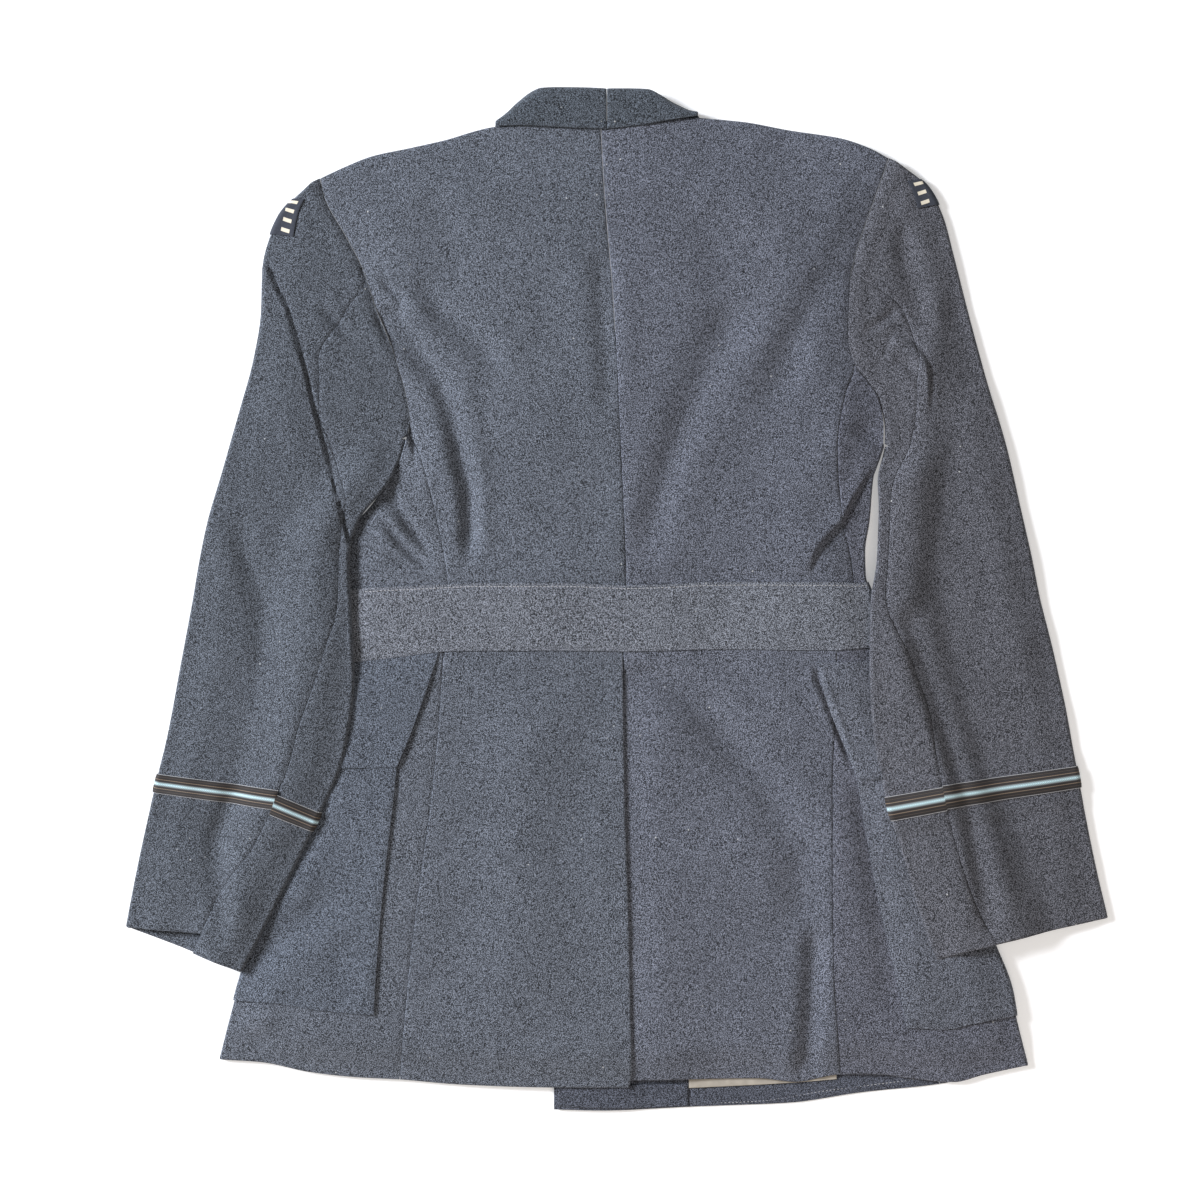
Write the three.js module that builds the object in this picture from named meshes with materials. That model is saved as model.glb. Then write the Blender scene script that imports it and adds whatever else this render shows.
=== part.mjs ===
// A service-dress tunic laid face down: its back up, its sleeves beside it, its fronts on the table.
// +X is the wearer's right, +Y the neck, +Z up from the table. Sizes are in millimetres.
import * as THREE from "three";

// Cloth and clearances
const CLOTH = 1.5;            // wall of the barathea
const POCKET_WALL = 1.1;
const FLAP_WALL = 1.0;
const BELT_WALL = 1.2;
const LACE_WALL = 1.0;
const SEAM = 0.3;             // gap between two pieces at a seam
const LIFT = 2.7;             // the fronts lie this high, on their pockets, lapels and buttons
const BODY = 5.0;             // from the fronts' outer face to the back's, at the sides
const FRONT_LAP = 1.9;        // rise of the right front over the left one
const LAP_RISE = 2.2;         // rise of the back over the lapped fronts
const LAP_MIDDLE = -22;       // where that is highest, across
const SLEEVE = 5.5;           // thickness of a flattened sleeve
const VENT_DIP = 2.1;         // the right skirt lies this much lower, under the left one
const VENT_LAP = 12;          // width of that underlap
const ON_BODY = 0.7;          // from the back's face to a sleeve that lies on it
const POCKET_RISE = 1.4;      // how much a pocket, a flap or the lace lifts what lies on it
const TROUGH = 1.7;           // deepest trough, which leaves the layer below free
const SLEEVE_TROUGH = 1.1;
const ROW = 26;               // distance between rows of points

// Rows down the body, as a share of the way from the shoulder to the hem
const JOIN_LEFT = 0.294;      // where the side-back seam meets the armhole
const JOIN_RIGHT = 0.23;
const BELT_TOP = 0.474;
const BELT_FOOT = 0.5435;

// Height of each line at those rows: row, height
const LEVELS = {
  centre: [[0, 378], [BELT_TOP, 11], [BELT_FOOT, -41], [1, -386]],
  vent: [[0, 378], [BELT_TOP, 11], [BELT_FOOT, -41], [1, -381]],
  back_left: [[0, 333], [JOIN_LEFT, 134], [BELT_TOP, 12], [BELT_FOOT, -41], [1, -380]],
  back_right: [[0, 349], [JOIN_RIGHT, 186], [BELT_TOP, 13], [BELT_FOOT, -40], [1, -376]],
  fold_left: [[JOIN_LEFT, 127], [BELT_TOP, 8], [BELT_FOOT, -52], [1, -364]],
  fold_right: [[JOIN_RIGHT, 121], [BELT_TOP, 14], [BELT_FOOT, -37], [1, -369]],
  under_left: [[0, 333], [JOIN_LEFT, 134], [BELT_TOP, 9], [BELT_FOOT, -46], [1, -369]],
  under_right: [[0, 349], [JOIN_RIGHT, 186], [BELT_TOP, 14], [BELT_FOOT, -38], [1, -384]],
  edge_left: [[0, 374], [BELT_TOP, 10], [BELT_FOOT, -41], [1, -383]],
  edge_right: [[0, 378], [BELT_TOP, 10], [BELT_FOOT, -41], [1, -404]],
};

// Lines that run down the body: height, across
const DOWN = {
  armhole_left: [[333, -235], [317, -231], [290, -216], [261, -201], [231, -191], [199, -178],
    [161, -167], [141, -164], [134, -165], [127, -167]],
  armhole_right: [[349, 215], [326, 207], [301, 198], [277, 190], [250, 184], [208, 182.5],
    [186, 188], [170, 200], [159, 207], [134, 212], [121, 212]],
  seam_left: [[134, -165], [117, -157], [79, -146], [47, -139], [12, -134], [-41, -137],
    [-122, -143], [-174, -149], [-246, -159], [-310, -166], [-380, -172]],
  seam_right: [[186, 188], [161, 180], [120, 174], [56, 179], [42, 183], [13, 187], [-40, 174],
    [-100, 172], [-150, 170], [-220, 170], [-289, 171], [-376, 177]],
  centre: [[378, -13], [322, -10], [237, -3], [119, 3], [12, 7], [-41, 5], [-174, 7], [-250, 9.5],
    [-325, 11], [-371, 12], [-386, 10]],
  fold_left: [[127, -165.5], [113, -170.5], [100, -176.5], [90, -182], [74, -195], [57, -209],
    [38, -216], [10, -220], [-40, -226], [-100, -236], [-150, -250], [-200, -266], [-250, -281],
    [-297, -297], [-326, -305], [-364, -315]],
  fold_right: [[121, 208.5], [110, 205], [100, 203], [62, 200], [38, 196.5], [19, 197], [5, 201],
    [-40, 208], [-100, 226], [-150, 246], [-200, 267], [-250, 288], [-274, 299], [-308, 312],
    [-330, 316], [-369, 326]],
  under_left: [[134, -165], [110, -162], [80, -160], [50, -164], [10, -170], [-41, -178],
    [-150, -192], [-250, -217], [-369, -252]],
  under_right: [[186, 188], [150, 188], [110, 186], [62, 178], [20, 172], [-41, 174], [-150, 192],
    [-250, 222], [-384, 256]],
  edge_left: [[374, -75], [330, -66], [250, -46], [170, -24], [100, -3], [-383, -3]],
  edge_right: [[378, 58], [330, 42], [250, 14], [170, -20], [100, -50], [-404, -50]],
};

// Lines that run across the body: across, height
const ACROSS = {
  shoulder_left: [[-235, 333], [-216, 342], [-193, 351], [-165, 357], [-138, 363], [-100, 373],
    [-60, 377], [-13, 378]],
  shoulder_right: [[-13, 378], [30, 378], [58, 381], [98, 378], [138, 371], [176, 365],
    [200, 357], [215, 349]],
  hem_left: [[-315, -364], [-284, -366], [-244, -374], [-209, -378], [-172, -380], [-123, -384],
    [-49, -386], [10, -386]],
  hem_right: [[-2, -381], [112, -379], [142, -382], [177, -376], [208, -376], [233, -379],
    [268, -382], [293, -376], [326, -369]],
  front_hem_left: [[-315, -364], [-284, -361], [-252, -369], [-209, -375], [-123, -381],
    [-49, -383], [-3, -383]],
  front_hem_right: [[-50, -404.4], [-13, -405.2], [66, -402], [137, -399], [192, -391], [256, -384],
    [326, -369]],
};

// Where each pocket and its flap begin on the side body, as a share from the seam to the fold,
// which sets the first column of points there: row, share
const POCKET_TOP = 0.62;
const FLAP_FOOT = { left: 0.664, right: 0.683 };
const POCKET_FOOT = { left: 0.931, right: 0.945 };
const POCKET_EDGE = {
  left: [[JOIN_LEFT, 0.3], [BELT_TOP, 0.2], [BELT_FOOT, 0.04], [0.664, 0.3], [0.8, 0.24],
    [0.931, 0.18], [1, 0.18]],
  right: [[JOIN_RIGHT, 0.3], [BELT_TOP, 0.25], [BELT_FOOT, 0.12], [0.683, 0.28], [0.8, 0.33],
    [0.945, 0.39], [1, 0.39]],
};

// Sleeve sections from the shoulder to the cuff: the outer edge, the inner edge, and how far from
// outer to inner the hind-arm seam crosses; 1 where it has yet to begin
const SECTIONS = {
  left: [
    [-243, 329, -236, 333, 1], [-268, 303, -219, 296, 1], [-281, 262, -201, 258, 1],
    [-282, 228, -190, 226, 0.72], [-288, 190, -176, 190, 0.46], [-299, 150, -164, 147, 0.47],
    [-306, 125, -167, 127, 0.56], [-314, 97, -181, 96, 0.7], [-324, 63, -205, 62, 0.9],
    [-331, 30, -211, 30, 0.93], [-336, 0, -209, -6, 0.91], [-345, -48, -207, -60, 0.79],
    [-355, -102, -214, -118, 0.716], [-363, -137, -233, -167, 0.72], [-372, -175, -250, -203, 0.7],
    [-381, -217, -271, -245, 0.6], [-389, -259, -296, -294, 0.58],
  ],
  right: [
    [222, 346, 215, 349, 1], [246, 327, 204, 318, 1], [259, 302, 194, 291, 1],
    [267, 272, 187, 264, 1], [278, 229, 182, 228, 0.54], [287, 195, 185, 195, 0.48],
    [296, 163, 206, 161, 0.66], [303, 141, 212, 140, 0.74], [309, 120, 212, 121, 0.8],
    [320, 72, 207, 75, 0.92], [329, 32, 205, 32, 0.93], [335, 2, 200, -3, 0.91],
    [346, -42, 199, -53, 0.77], [356, -88, 202, -106, 0.7], [364, -133, 212, -157, 0.71],
    [372, -175, 225, -203, 0.714], [380, -214, 238, -246, 0.697], [389, -252, 251, -284, 0.652],
  ],
};
const UNDERARM = { left: 6, right: 8 };         // the section at the underarm
const SEAM_START = { left: 2.3, right: 3.3 };   // the section where the hind-arm seam begins
const SEAM_HEAD = 0.985;                        // where that seam crosses at its head
const LACE_AT = { left: 13.22, right: 14.17 };  // the section under the middle of the rank lace
// How much higher the cuff lies at the hind-arm seam than in a straight line from edge to edge, on
// the top sleeve and on the under sleeve: section, height
const CUFF_BEND = {
  left: [[[11, 0], [13.22, 10], [16, 13]], [[11, 0], [13.22, 7], [16, 0]]],
  right: [[[11, 0], [14.17, 2], [17, 2]], [[11, 0], [14.17, 1], [17, 1]]],
};
const SEAM_SLANT = 0.45;                        // how far that seam runs across for each mm it runs down
const LACE_HALF = 0.2;                          // half the lace's width, in sections

// Folds of the body's back: path, half width, rise (troughs below zero); a step is high on the left
// of its path and falls off over its reach
const BODY_FOLDS = [
  { path: [[-179, 222], [-152, 189], [-134, 154], [-122, 108], [-116, 62], [-117, 36]], width: 13, rise: -2.6 },
  { path: [[-181, 247], [-171, 238], [-168, 222]], width: 8, rise: -1.6 },
  { path: [[-152, 243], [-118, 213], [-92, 180]], width: 12, rise: -1.2 },
  { path: [[-182, 92], [-163, 59], [-146, 32]], width: 8, rise: -2.2 },
  { path: [[-13, 261], [-5, 158]], width: 10, rise: -1 },
  { path: [[94, 229], [66, 174], [43, 111], [23, 40]], width: 20, rise: -1.2 },
  { path: [[161, 253], [141, 205], [122, 158]], width: 18, rise: -1.2 },
  { path: [[205, 116], [186, 78], [168, 51], [155, 33], [152, 20]], width: 9, rise: -2.6 },
  { path: [[19, -51], [66, -87], [114, -142], [145, -198], [149, -253]], width: 22, rise: -1.3 },
  { path: [[157, -272], [149, -375]], width: 16, rise: -1.8 },
  { path: [[-60, -90], [-80, -200], [-86, -330]], width: 30, rise: 1 },
  { path: [[60, 330], [120, 300], [160, 290]], width: 26, rise: 1 },
];

// Folds of the sleeves, in the same form
const SLEEVE_FOLDS = {
  left: [
    { path: [[-278, 290], [-261, 230], [-242, 159], [-219, 72], [-211, 47], [-209, 0], [-208, -60]],
      width: 9, rise: 2.6, reach: 50 },
    { path: [[-297, 47], [-281, 0], [-281, -40]], width: 16, rise: -1.2 },
    { path: [[-297, -160], [-325, -213], [-333, -262]], width: 14, rise: -1.5 },
    { path: [[-234, 228], [-214, 211], [-201, 205]], width: 8, rise: -1.2 },
  ],
  right: [
    { path: [[246, 250], [246, 168], [238, 142], [221, 98]], width: 9, rise: -2 },
    { path: [[225, 293], [232, 257], [244, 213]], width: 12, rise: -1.2 },
    { path: [[228, -16], [244, -63], [272, -150], [284, -198], [297, -262]], width: 14, rise: -1.6 },
  ],
};

// Colours, from the photograph
const COLOUR = {
  back: 0x686d77, shade: 0x5d616a, belt: 0x70747f, sleeve: 0x5f656e, lace: 0x3c3a3a,
  patch: 0x2e3138, lining: 0xa39b8f, brass: 0xa98a4b,
};

const { lerp, clamp } = THREE.MathUtils;
const ease = (t) => THREE.MathUtils.smoothstep(t, 0, 1);

// A smooth line through a table, by its first column, with no overshoot between rows.
function through(table, column = 1) {
  const rows = [...table].sort((a, b) => a[0] - b[0]);
  const slope = rows.slice(1).map((r, i) => (r[column] - rows[i][column]) / (r[0] - rows[i][0]));
  const tangent = rows.map((_, i) => {
    if (i === 0 || i === rows.length - 1) return slope[i === 0 ? 0 : i - 1];
    return slope[i - 1] * slope[i] > 0 ? (2 * slope[i - 1] * slope[i]) / (slope[i - 1] + slope[i]) : 0;
  });
  return (at) => {
    const key = clamp(at, rows[0][0], rows[rows.length - 1][0]);
    let i = rows.findIndex((r) => r[0] >= key) - 1;
    i = Math.max(0, i);
    const span = rows[i + 1][0] - rows[i][0];
    const t = (key - rows[i][0]) / span;
    const t2 = t * t;
    const t3 = t2 * t;
    return (2 * t3 - 3 * t2 + 1) * rows[i][column] + (t3 - 2 * t2 + t) * span * tangent[i]
      + (3 * t2 - 2 * t3) * rows[i + 1][column] + (t3 - t2) * span * tangent[i + 1];
  };
}

// Straight steps through a table, for levels and shares.
function between(table) {
  return (at) => {
    let i = table.findIndex((r) => r[0] >= at) - 1;
    i = i < 0 ? (at <= table[0][0] ? 0 : table.length - 2) : i;
    return lerp(table[i][1], table[i + 1][1], (at - table[i][0]) / (table[i + 1][0] - table[i][0]));
  };
}

// Keys in order, with even steps between them no longer than most.
function spread(keys, most) {
  const out = [keys[0]];
  for (let i = 1; i < keys.length; i++) {
    const n = Math.max(1, Math.ceil((keys[i] - keys[i - 1]) / most - 0.01));
    for (let k = 1; k <= n; k++) out.push(lerp(keys[i - 1], keys[i], k / n));
  }
  return out;
}

const even = (n) => Array.from({ length: n + 1 }, (_, i) => i / n);

// A point of a line that runs down the body, by row.
function runsDown(line, levels, from = 0) {
  const across = through(line);
  const level = between(levels);
  return (t) => {
    const y = level(lerp(from, 1, t));
    return [across(y), y];
  };
}

// A point of a line that runs across the body, from one side to the other.
function runsAcross(line, from, to) {
  const height = through(line);
  return (t) => [lerp(from, to, t), height(lerp(from, to, t))];
}

// A patch between four edges. Its rows are bowed like the top and foot edges only near them.
function patch(top, foot, left, right) {
  const corner = [top(0), top(1), foot(0), foot(1)];
  return (u, v) => [0, 1].map((k) => lerp(left(v)[k], right(v)[k], u)
    + (1 - v) ** 3 * (top(u)[k] - lerp(corner[0][k], corner[1][k], u))
    + v ** 3 * (foot(u)[k] - lerp(corner[2][k], corner[3][k], u)));
}

// Rise of the folds at a point: a soft trough or ridge along each path, or a step.
function foldRise(folds, x, y) {
  let rise = 0;
  for (const fold of folds) {
    let nearest = Infinity;
    let side = 1;
    let along = 0;
    let length = 0;
    for (let i = 1; i < fold.path.length; i++) {
      const [ax, ay] = fold.path[i - 1];
      const [bx, by] = fold.path[i];
      const span = Math.hypot(bx - ax, by - ay);
      const t = clamp(((x - ax) * (bx - ax) + (y - ay) * (by - ay)) / (span * span), 0, 1);
      const away = Math.hypot(x - lerp(ax, bx, t), y - lerp(ay, by, t));
      if (away < nearest) {
        nearest = away;
        side = Math.sign((x - ax) * (by - ay) - (y - ay) * (bx - ax)) || 1;
        along = length + t * span;
      }
      length += span;
    }
    const ends = ease(along / length / 0.25) * ease((1 - along / length) / 0.25);
    const shape = fold.reach
      ? ease(0.5 - (side * -nearest) / fold.width / 2) * Math.exp(-nearest / fold.reach)
      : Math.exp(-((nearest / fold.width) ** 2));
    rise += fold.rise * shape * ends;
  }
  return rise;
}

const hemHeight = through([...ACROSS.hem_left, ...ACROSS.hem_right.slice(1)]);
const shoulderHeight = through([...ACROSS.shoulder_left, ...ACROSS.shoulder_right.slice(1)]);
const centreAcross = through(DOWN.centre);
const foldAcross = { left: through(DOWN.fold_left), right: through(DOWN.fold_right) };
const armholeAcross = { left: through(DOWN.armhole_left), right: through(DOWN.armhole_right) };

// How high the fronts lie over the table: down to it at the hem.
const lift = (x, y) => LIFT * ease((y - hemHeight(x)) / 35);

// Rise of the back over the lapped fronts.
const lapRise = (x) => LAP_RISE * (1 - ease((Math.abs(x - LAP_MIDDLE) - 45) / 70));

// Height of the back's outer face. It is higher where the fronts lap, lower at the shoulder edge,
// and calm under the belt.
function backHeight(x, y) {
  const inCollar = ease((x + 112) / 15) * ease((74 - x) / 15);
  const edge = clamp((shoulderHeight(x) - y) / 12, 0, 1);
  const drop = 1.7 * (1 - Math.sqrt(1 - (1 - edge) ** 2)) * (1 - inCollar);
  const calm = 1 - ease((y + 62) / 15) * ease((30 - y) / 15);
  const atHem = ease((y - hemHeight(x)) / 30);
  const folds = Math.max(foldRise(BODY_FOLDS, x, y), -TROUGH) * calm * lerp(0.5, 1, atHem);
  const roomy = ease(Math.min(foldAcross.right(y) - x, x - foldAcross.left(y)) / 30);
  const sides = y < 121 ? lerp(0.2, 1, roomy) : 1;
  return lift(x, y) + BODY + lapRise(x) + folds * sides - drop;
}

// The right skirt dips under the left one along the vent, which starts at the belt's foot.
const BELT_VENT = -41;
function rightBackHeight(x, y) {
  const dip = ease((BELT_VENT - y) / 25) * (1 - ease((x - centreAcross(y)) / 30));
  return backHeight(x, y) - VENT_DIP * dip;
}

// The right front lies over the left one, which reaches past the middle, and comes down beyond it.
const LAP_FROM = 2;
const LAP_TO = 26;
const rightFrontHeight = (x, y) => lift(x, y)
  + FRONT_LAP * ease((200 - y) / 30) * (1 - ease((x - LAP_FROM) / (LAP_TO - LAP_FROM)));

// A seat is a point of a cloth's outer face with the way out of it. Laid-on pieces use the
// seats of the panel below, moved out.
const seat = (x, y, z, nx, ny, nz) => ({ at: new THREE.Vector3(x, y, z), out: new THREE.Vector3(nx, ny, nz) });

// Seats of a flat panel: rows down, columns across, inset by half a seam at both sides.
function flatSeats(plan, rows, columns, height, faces) {
  return rows.map((v) => {
    const a = plan(0, v);
    const b = plan(1, v);
    const inset = SEAM / 2 / Math.hypot(b[0] - a[0], b[1] - a[1]);
    return (typeof columns === "function" ? columns(a[0], b[0]) : columns).map((u) => {
      const [x, y] = plan(lerp(inset, 1 - inset, u), v);
      return seat(x, y, height(x, y), 0, 0, faces);
    });
  });
}

// One row of seats that comes in over the top, turns round a folded edge and goes back below.
function turnedRow(edge, inward, topPoint, underPoint, columns, topHeight, underHeight) {
  const probe = [edge[0] + inward[0] * 3, edge[1] + inward[1] * 3];
  const high = topHeight(...probe);
  const low = underHeight(...probe);
  const radius = (high - low) / 2;
  const root = [edge[0] + inward[0] * radius, edge[1] + inward[1] * radius];
  const row = columns.top.map((t) => {
    const [x, y] = topPoint(t, root);
    return seat(x, y, t === 1 ? high : topHeight(x, y), 0, 0, 1);
  });
  for (let k = 1; k < columns.turn; k++) {
    const angle = Math.PI / 2 - (Math.PI * k) / columns.turn;
    const out = [-inward[0] * Math.cos(angle), -inward[1] * Math.cos(angle), Math.sin(angle)];
    row.push(seat(root[0] + out[0] * radius, root[1] + out[1] * radius,
      (high + low) / 2 + out[2] * radius, ...out));
  }
  columns.under.forEach((t) => {
    const [x, y] = underPoint(t, root);
    row.push(seat(x, y, t === 0 ? low : underHeight(x, y), 0, 0, -1));
  });
  return row;
}

// A closed wall between two offsets from its seats, in the cells that are kept.
function wall(name, seats, outer, inner, colour, keep = () => true, metalness = 0) {
  const columns = seats[0].length;
  const count = seats.length * columns;
  const index = (i, j) => i * columns + j;
  const triangles = [];
  const edges = new Map();
  // Each cell is split the same way whichever way its columns run, so laid-on cloth stays parallel.
  const slant = (i, j, k, m) => (seats[i][j].at.x - seats[k][m].at.x) * (seats[i][j].at.y - seats[k][m].at.y);
  const side = (a, b) => {
    const back = `${b},${a}`;
    if (edges.has(back)) edges.delete(back);
    else edges.set(`${a},${b}`, [a, b]);
  };
  for (let i = 0; i + 1 < seats.length; i++) {
    for (let j = 0; j + 1 < columns; j++) {
      if (!keep(i, j)) continue;
      const [a, b, c, d] = [index(i, j), index(i, j + 1), index(i + 1, j + 1), index(i + 1, j)];
      const halves = slant(i, j, i + 1, j + 1) > slant(i, j + 1, i + 1, j)
        ? [[a, c, b], [a, d, c]] : [[a, d, b], [b, d, c]];
      halves.forEach(([p, q, r]) => triangles.push([p, q, r], [p + count, r + count, q + count]));
      [[a, b], [b, c], [c, d], [d, a]].forEach(([p, q]) => side(p, q));
    }
  }
  edges.forEach(([a, b]) => triangles.push([a, b, b + count], [a, b + count, a + count]));
  const place = (k) => {
    const s = seats[Math.floor((k % count) / columns)][(k % count) % columns];
    return s.at.clone().addScaledVector(s.out, k < count ? outer : inner);
  };
  return solid(name, triangles, place, colour, metalness);
}

// A mesh from triangles of numbered points, turned so that its faces point out.
function solid(name, triangles, place, colour, metalness) {
  const used = [...new Set(triangles.flat())];
  const number = new Map(used.map((k, i) => [k, i]));
  const points = used.map(place);
  let volume = 0;
  triangles.forEach(([a, b, c]) => {
    volume += points[number.get(a)].dot(points[number.get(b)].clone().cross(points[number.get(c)]));
  });
  const order = volume > 0 ? [0, 1, 2] : [0, 2, 1];
  const geometry = new THREE.BufferGeometry();
  geometry.setAttribute("position", new THREE.Float32BufferAttribute(points.flatMap((p) => p.toArray()), 3));
  geometry.setIndex(triangles.flatMap((t) => order.map((k) => number.get(t[k]))));
  geometry.computeVertexNormals();
  const material = new THREE.MeshStandardMaterial({ color: colour, roughness: metalness ? 0.35 : 0.95, metalness });
  const mesh = new THREE.Mesh(geometry, material);
  mesh.name = name;
  return mesh;
}

const tunic = new THREE.Group();
const STEP = ROW / 760;       // one row of points, as a share of the back's length

// The two sides of the body: back, side body and front of each, with what is sewn on them
const SIDES = {
  left: { sign: -1, join: JOIN_LEFT, tint: COLOUR.back, back: backHeight, front: lift },
  right: { sign: 1, join: JOIN_RIGHT, tint: COLOUR.shade, back: rightBackHeight, front: rightFrontHeight },
};
const bodySeats = {};

for (const [name, side] of Object.entries(SIDES)) {
  const rows = spread([0, 0.018, side.join, BELT_TOP, BELT_FOOT, POCKET_TOP, FLAP_FOOT[name],
    POCKET_FOOT[name], 0.97, 1], STEP);
  const lower = rows.filter((v) => v >= side.join - 1e-9);
  const outline = [...DOWN[`armhole_${name}`].filter((r) => r[0] >= DOWN[`seam_${name}`][0][0]),
    ...DOWN[`seam_${name}`].slice(1)];
  const underline = [...DOWN[`armhole_${name}`].filter((r) => r[0] >= DOWN[`under_${name}`][0][0]),
    ...DOWN[`under_${name}`].slice(1)];
  const vent = (t) => {
    const [x, y] = runsDown(DOWN.centre, LEVELS.vent)(t);
    return [x - VENT_LAP * ease((-66 - y) / 25), y];
  };

  // Back, from the side-back seam to the centre
  const shoulder = ACROSS[`shoulder_${name}`];
  const shoulderPoint = name === "left" ? shoulder[0][0] : shoulder[shoulder.length - 1][0];
  const hemLine = ACROSS[`hem_${name}`];
  const hemSeam = DOWN[`seam_${name}`][DOWN[`seam_${name}`].length - 1][1];
  const backPlan = patch(
    runsAcross(shoulder, shoulderPoint, -13),
    runsAcross(hemLine, hemSeam, name === "left" ? 10 : 10 - VENT_LAP),
    runsDown(outline, LEVELS[`back_${name}`]),
    name === "left" ? runsDown(DOWN.centre, LEVELS.centre) : vent,
  );
  const backSeats = flatSeats(backPlan, rows, even(8), side.back, 1);
  tunic.add(wall(`back_${name}`, backSeats, 0, -CLOTH, side.tint));

  // Side body, from the side-back seam round the side fold to the seam with the front
  const seamLine = runsDown(outline, LEVELS[`back_${name}`], side.join);
  const foldLine = runsDown(DOWN[`fold_${name}`], LEVELS[`fold_${name}`], side.join);
  const underLine = runsDown(underline, LEVELS[`under_${name}`], side.join);
  const armLow = DOWN[`seam_${name}`][0][0];
  const armFoot = LEVELS[`fold_${name}`][0][1];
  const armLine = (t) => [armholeAcross[name](lerp(armFoot, armLow, t)), lerp(armFoot, armLow, t)];
  const foldEnd = DOWN[`fold_${name}`][DOWN[`fold_${name}`].length - 1][1];
  const frontEnd = DOWN[`under_${name}`][DOWN[`under_${name}`].length - 1][1];
  const frontHem = ACROSS[`front_hem_${name}`];
  const share = between(POCKET_EDGE[name]);
  const sideSeats = lower.map((v) => {
    const t = (v - side.join) / (1 - side.join);
    const bend = 1 - t;
    const edge = foldLine(t);
    const pull = (target, foot, s, root) => {
      const inset = 1 - SEAM / 2 / Math.max(6, Math.hypot(target[0] - root[0], target[1] - root[1]));
      const q = s * inset;
      const base = [lerp(root[0], target[0], q), lerp(root[1], target[1], q)];
      const arm = armLine(q);
      const armRoot = armLine(0);
      const armEnd = armLine(1);
      const bow = bend ** 6;
      const hemAt = lerp(foldEnd, foot.end, q);
      const hemBow = foot.hem(hemAt) - lerp(foot.hem(foldEnd), foot.hem(foot.end), q);
      return [
        base[0] + bow * (arm[0] - side.sign * 0.3 - lerp(armRoot[0] - side.sign * 0.3, armEnd[0] - side.sign * 0.3, q)),
        base[1] + bow * (arm[1] - lerp(armRoot[1], armEnd[1], q)) + (1 - bend) ** 4 * hemBow,
      ];
    };
    const first = 1 - share(v);
    const top = [1, ...even(3).map((s) => lerp(first, 0, s))];
    const seamPoint = seamLine(t);
    const turn = Math.atan2(seamPoint[1] - edge[1], Math.abs(seamPoint[0] - edge[0]));
    const inward = [-side.sign * Math.cos(turn), Math.sin(turn)];
    return turnedRow(edge, inward,
      (s, root) => pull(seamPoint, { end: hemSeam, hem: through(hemLine) }, 1 - s, root),
      (s, root) => pull(underLine(t), { end: frontEnd, hem: through(frontHem) }, s, root),
      { top: top.map((s) => 1 - s), turn: 4, under: even(2) }, side.back, lift);
  });
  tunic.add(wall(`side_${name}`, sideSeats, 0, -CLOTH, side.tint));

  // Front, from its seam with the side body to its edge past the middle
  const edgeEnd = DOWN[`edge_${name}`][DOWN[`edge_${name}`].length - 1][1];
  const neck = DOWN[`edge_${name}`][0][1];
  const frontPlan = patch(
    runsAcross(shoulder, shoulderPoint, neck),
    runsAcross(frontHem, frontEnd, edgeEnd),
    runsDown(underline, LEVELS[`under_${name}`]),
    runsDown(DOWN[`edge_${name}`], LEVELS[`edge_${name}`]),
  );
  const overLap = (a, b) => [0, 0.3, 0.6, ...(b < LAP_FROM - 8
    ? [(a - LAP_TO) / (a - b), (a - LAP_FROM) / (a - b)] : [0.8, 0.9]), 1];
  const frontSeats = flatSeats(frontPlan, rows, name === "left" ? even(4) : overLap, side.front, -1);
  tunic.add(wall(`front_${name}`, frontSeats, 0, -CLOTH, COLOUR.shade));
  bodySeats[name] = { rows, lower, back: backSeats, side: sideSeats, front: frontSeats };

  // Lower pocket and its flap, made from the side body's and the front's seats, moved out
  const around = (from, to, frontColumns) => lower.flatMap((v, i) => {
    if (v < from - 1e-9 || v > to + 1e-9) return [];
    const front = frontSeats[rows.indexOf(v)].slice(1, frontColumns)
      .map((s) => seat(s.at.x, s.at.y, lift(s.at.x, s.at.y), 0, 0, -1));
    return [[...sideSeats[i].slice(1, -1), ...front]];
  });
  tunic.add(wall(`pocket_${name}`, around(POCKET_TOP, POCKET_FOOT[name], 3), SEAM + POCKET_WALL, SEAM, COLOUR.belt));
  const flapSeats = around(BELT_FOOT, FLAP_FOOT[name], 3);
  flapSeats[0] = flapSeats[0].map((s, j) => {
    const next = flapSeats[1][j];
    const span = s.at.distanceTo(next.at);
    return { at: s.at.clone().lerp(next.at, SEAM / span), out: s.out };
  });
  const flapRise = 2 * SEAM + POCKET_WALL;
  tunic.add(wall(`flap_${name}`, flapSeats, flapRise + FLAP_WALL, flapRise, COLOUR.belt));
}

// Waist belt: one strip from the middle of the front, all round the body, back to the middle
const BELT_EDGE = -26;        // where its two ends meet, under the buckle
function beltRow(v) {
  const half = (name) => {
    const b = bodySeats[name];
    const lower = b.lower.findIndex((r) => Math.abs(r - v) < 1e-9);
    const back = b.rows.findIndex((r) => Math.abs(r - v) < 1e-9);
    const reach = name === "left" ? BELT_EDGE - 1 : BELT_EDGE + 1;
    const under = b.front[back].slice(1, -1).map((s) => s.at.x)
      .filter((x) => (name === "left" ? x < reach - 4 : x > reach + 4));
    const y = b.front[back][2].at.y;
    const strip = [reach, ...under.reverse()].map((x) => seat(x, y, lift(x, y), 0, 0, -1));
    return [...strip, ...[...b.side[lower]].reverse(), ...b.back[back].slice(1, -1)];
  };
  return [...half("left"), ...half("right").reverse()];
}
const beltRows = spread([BELT_TOP, BELT_FOOT], STEP);
tunic.add(wall("belt", beltRows.map(beltRow), SEAM + BELT_WALL, SEAM, COLOUR.belt));

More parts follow.
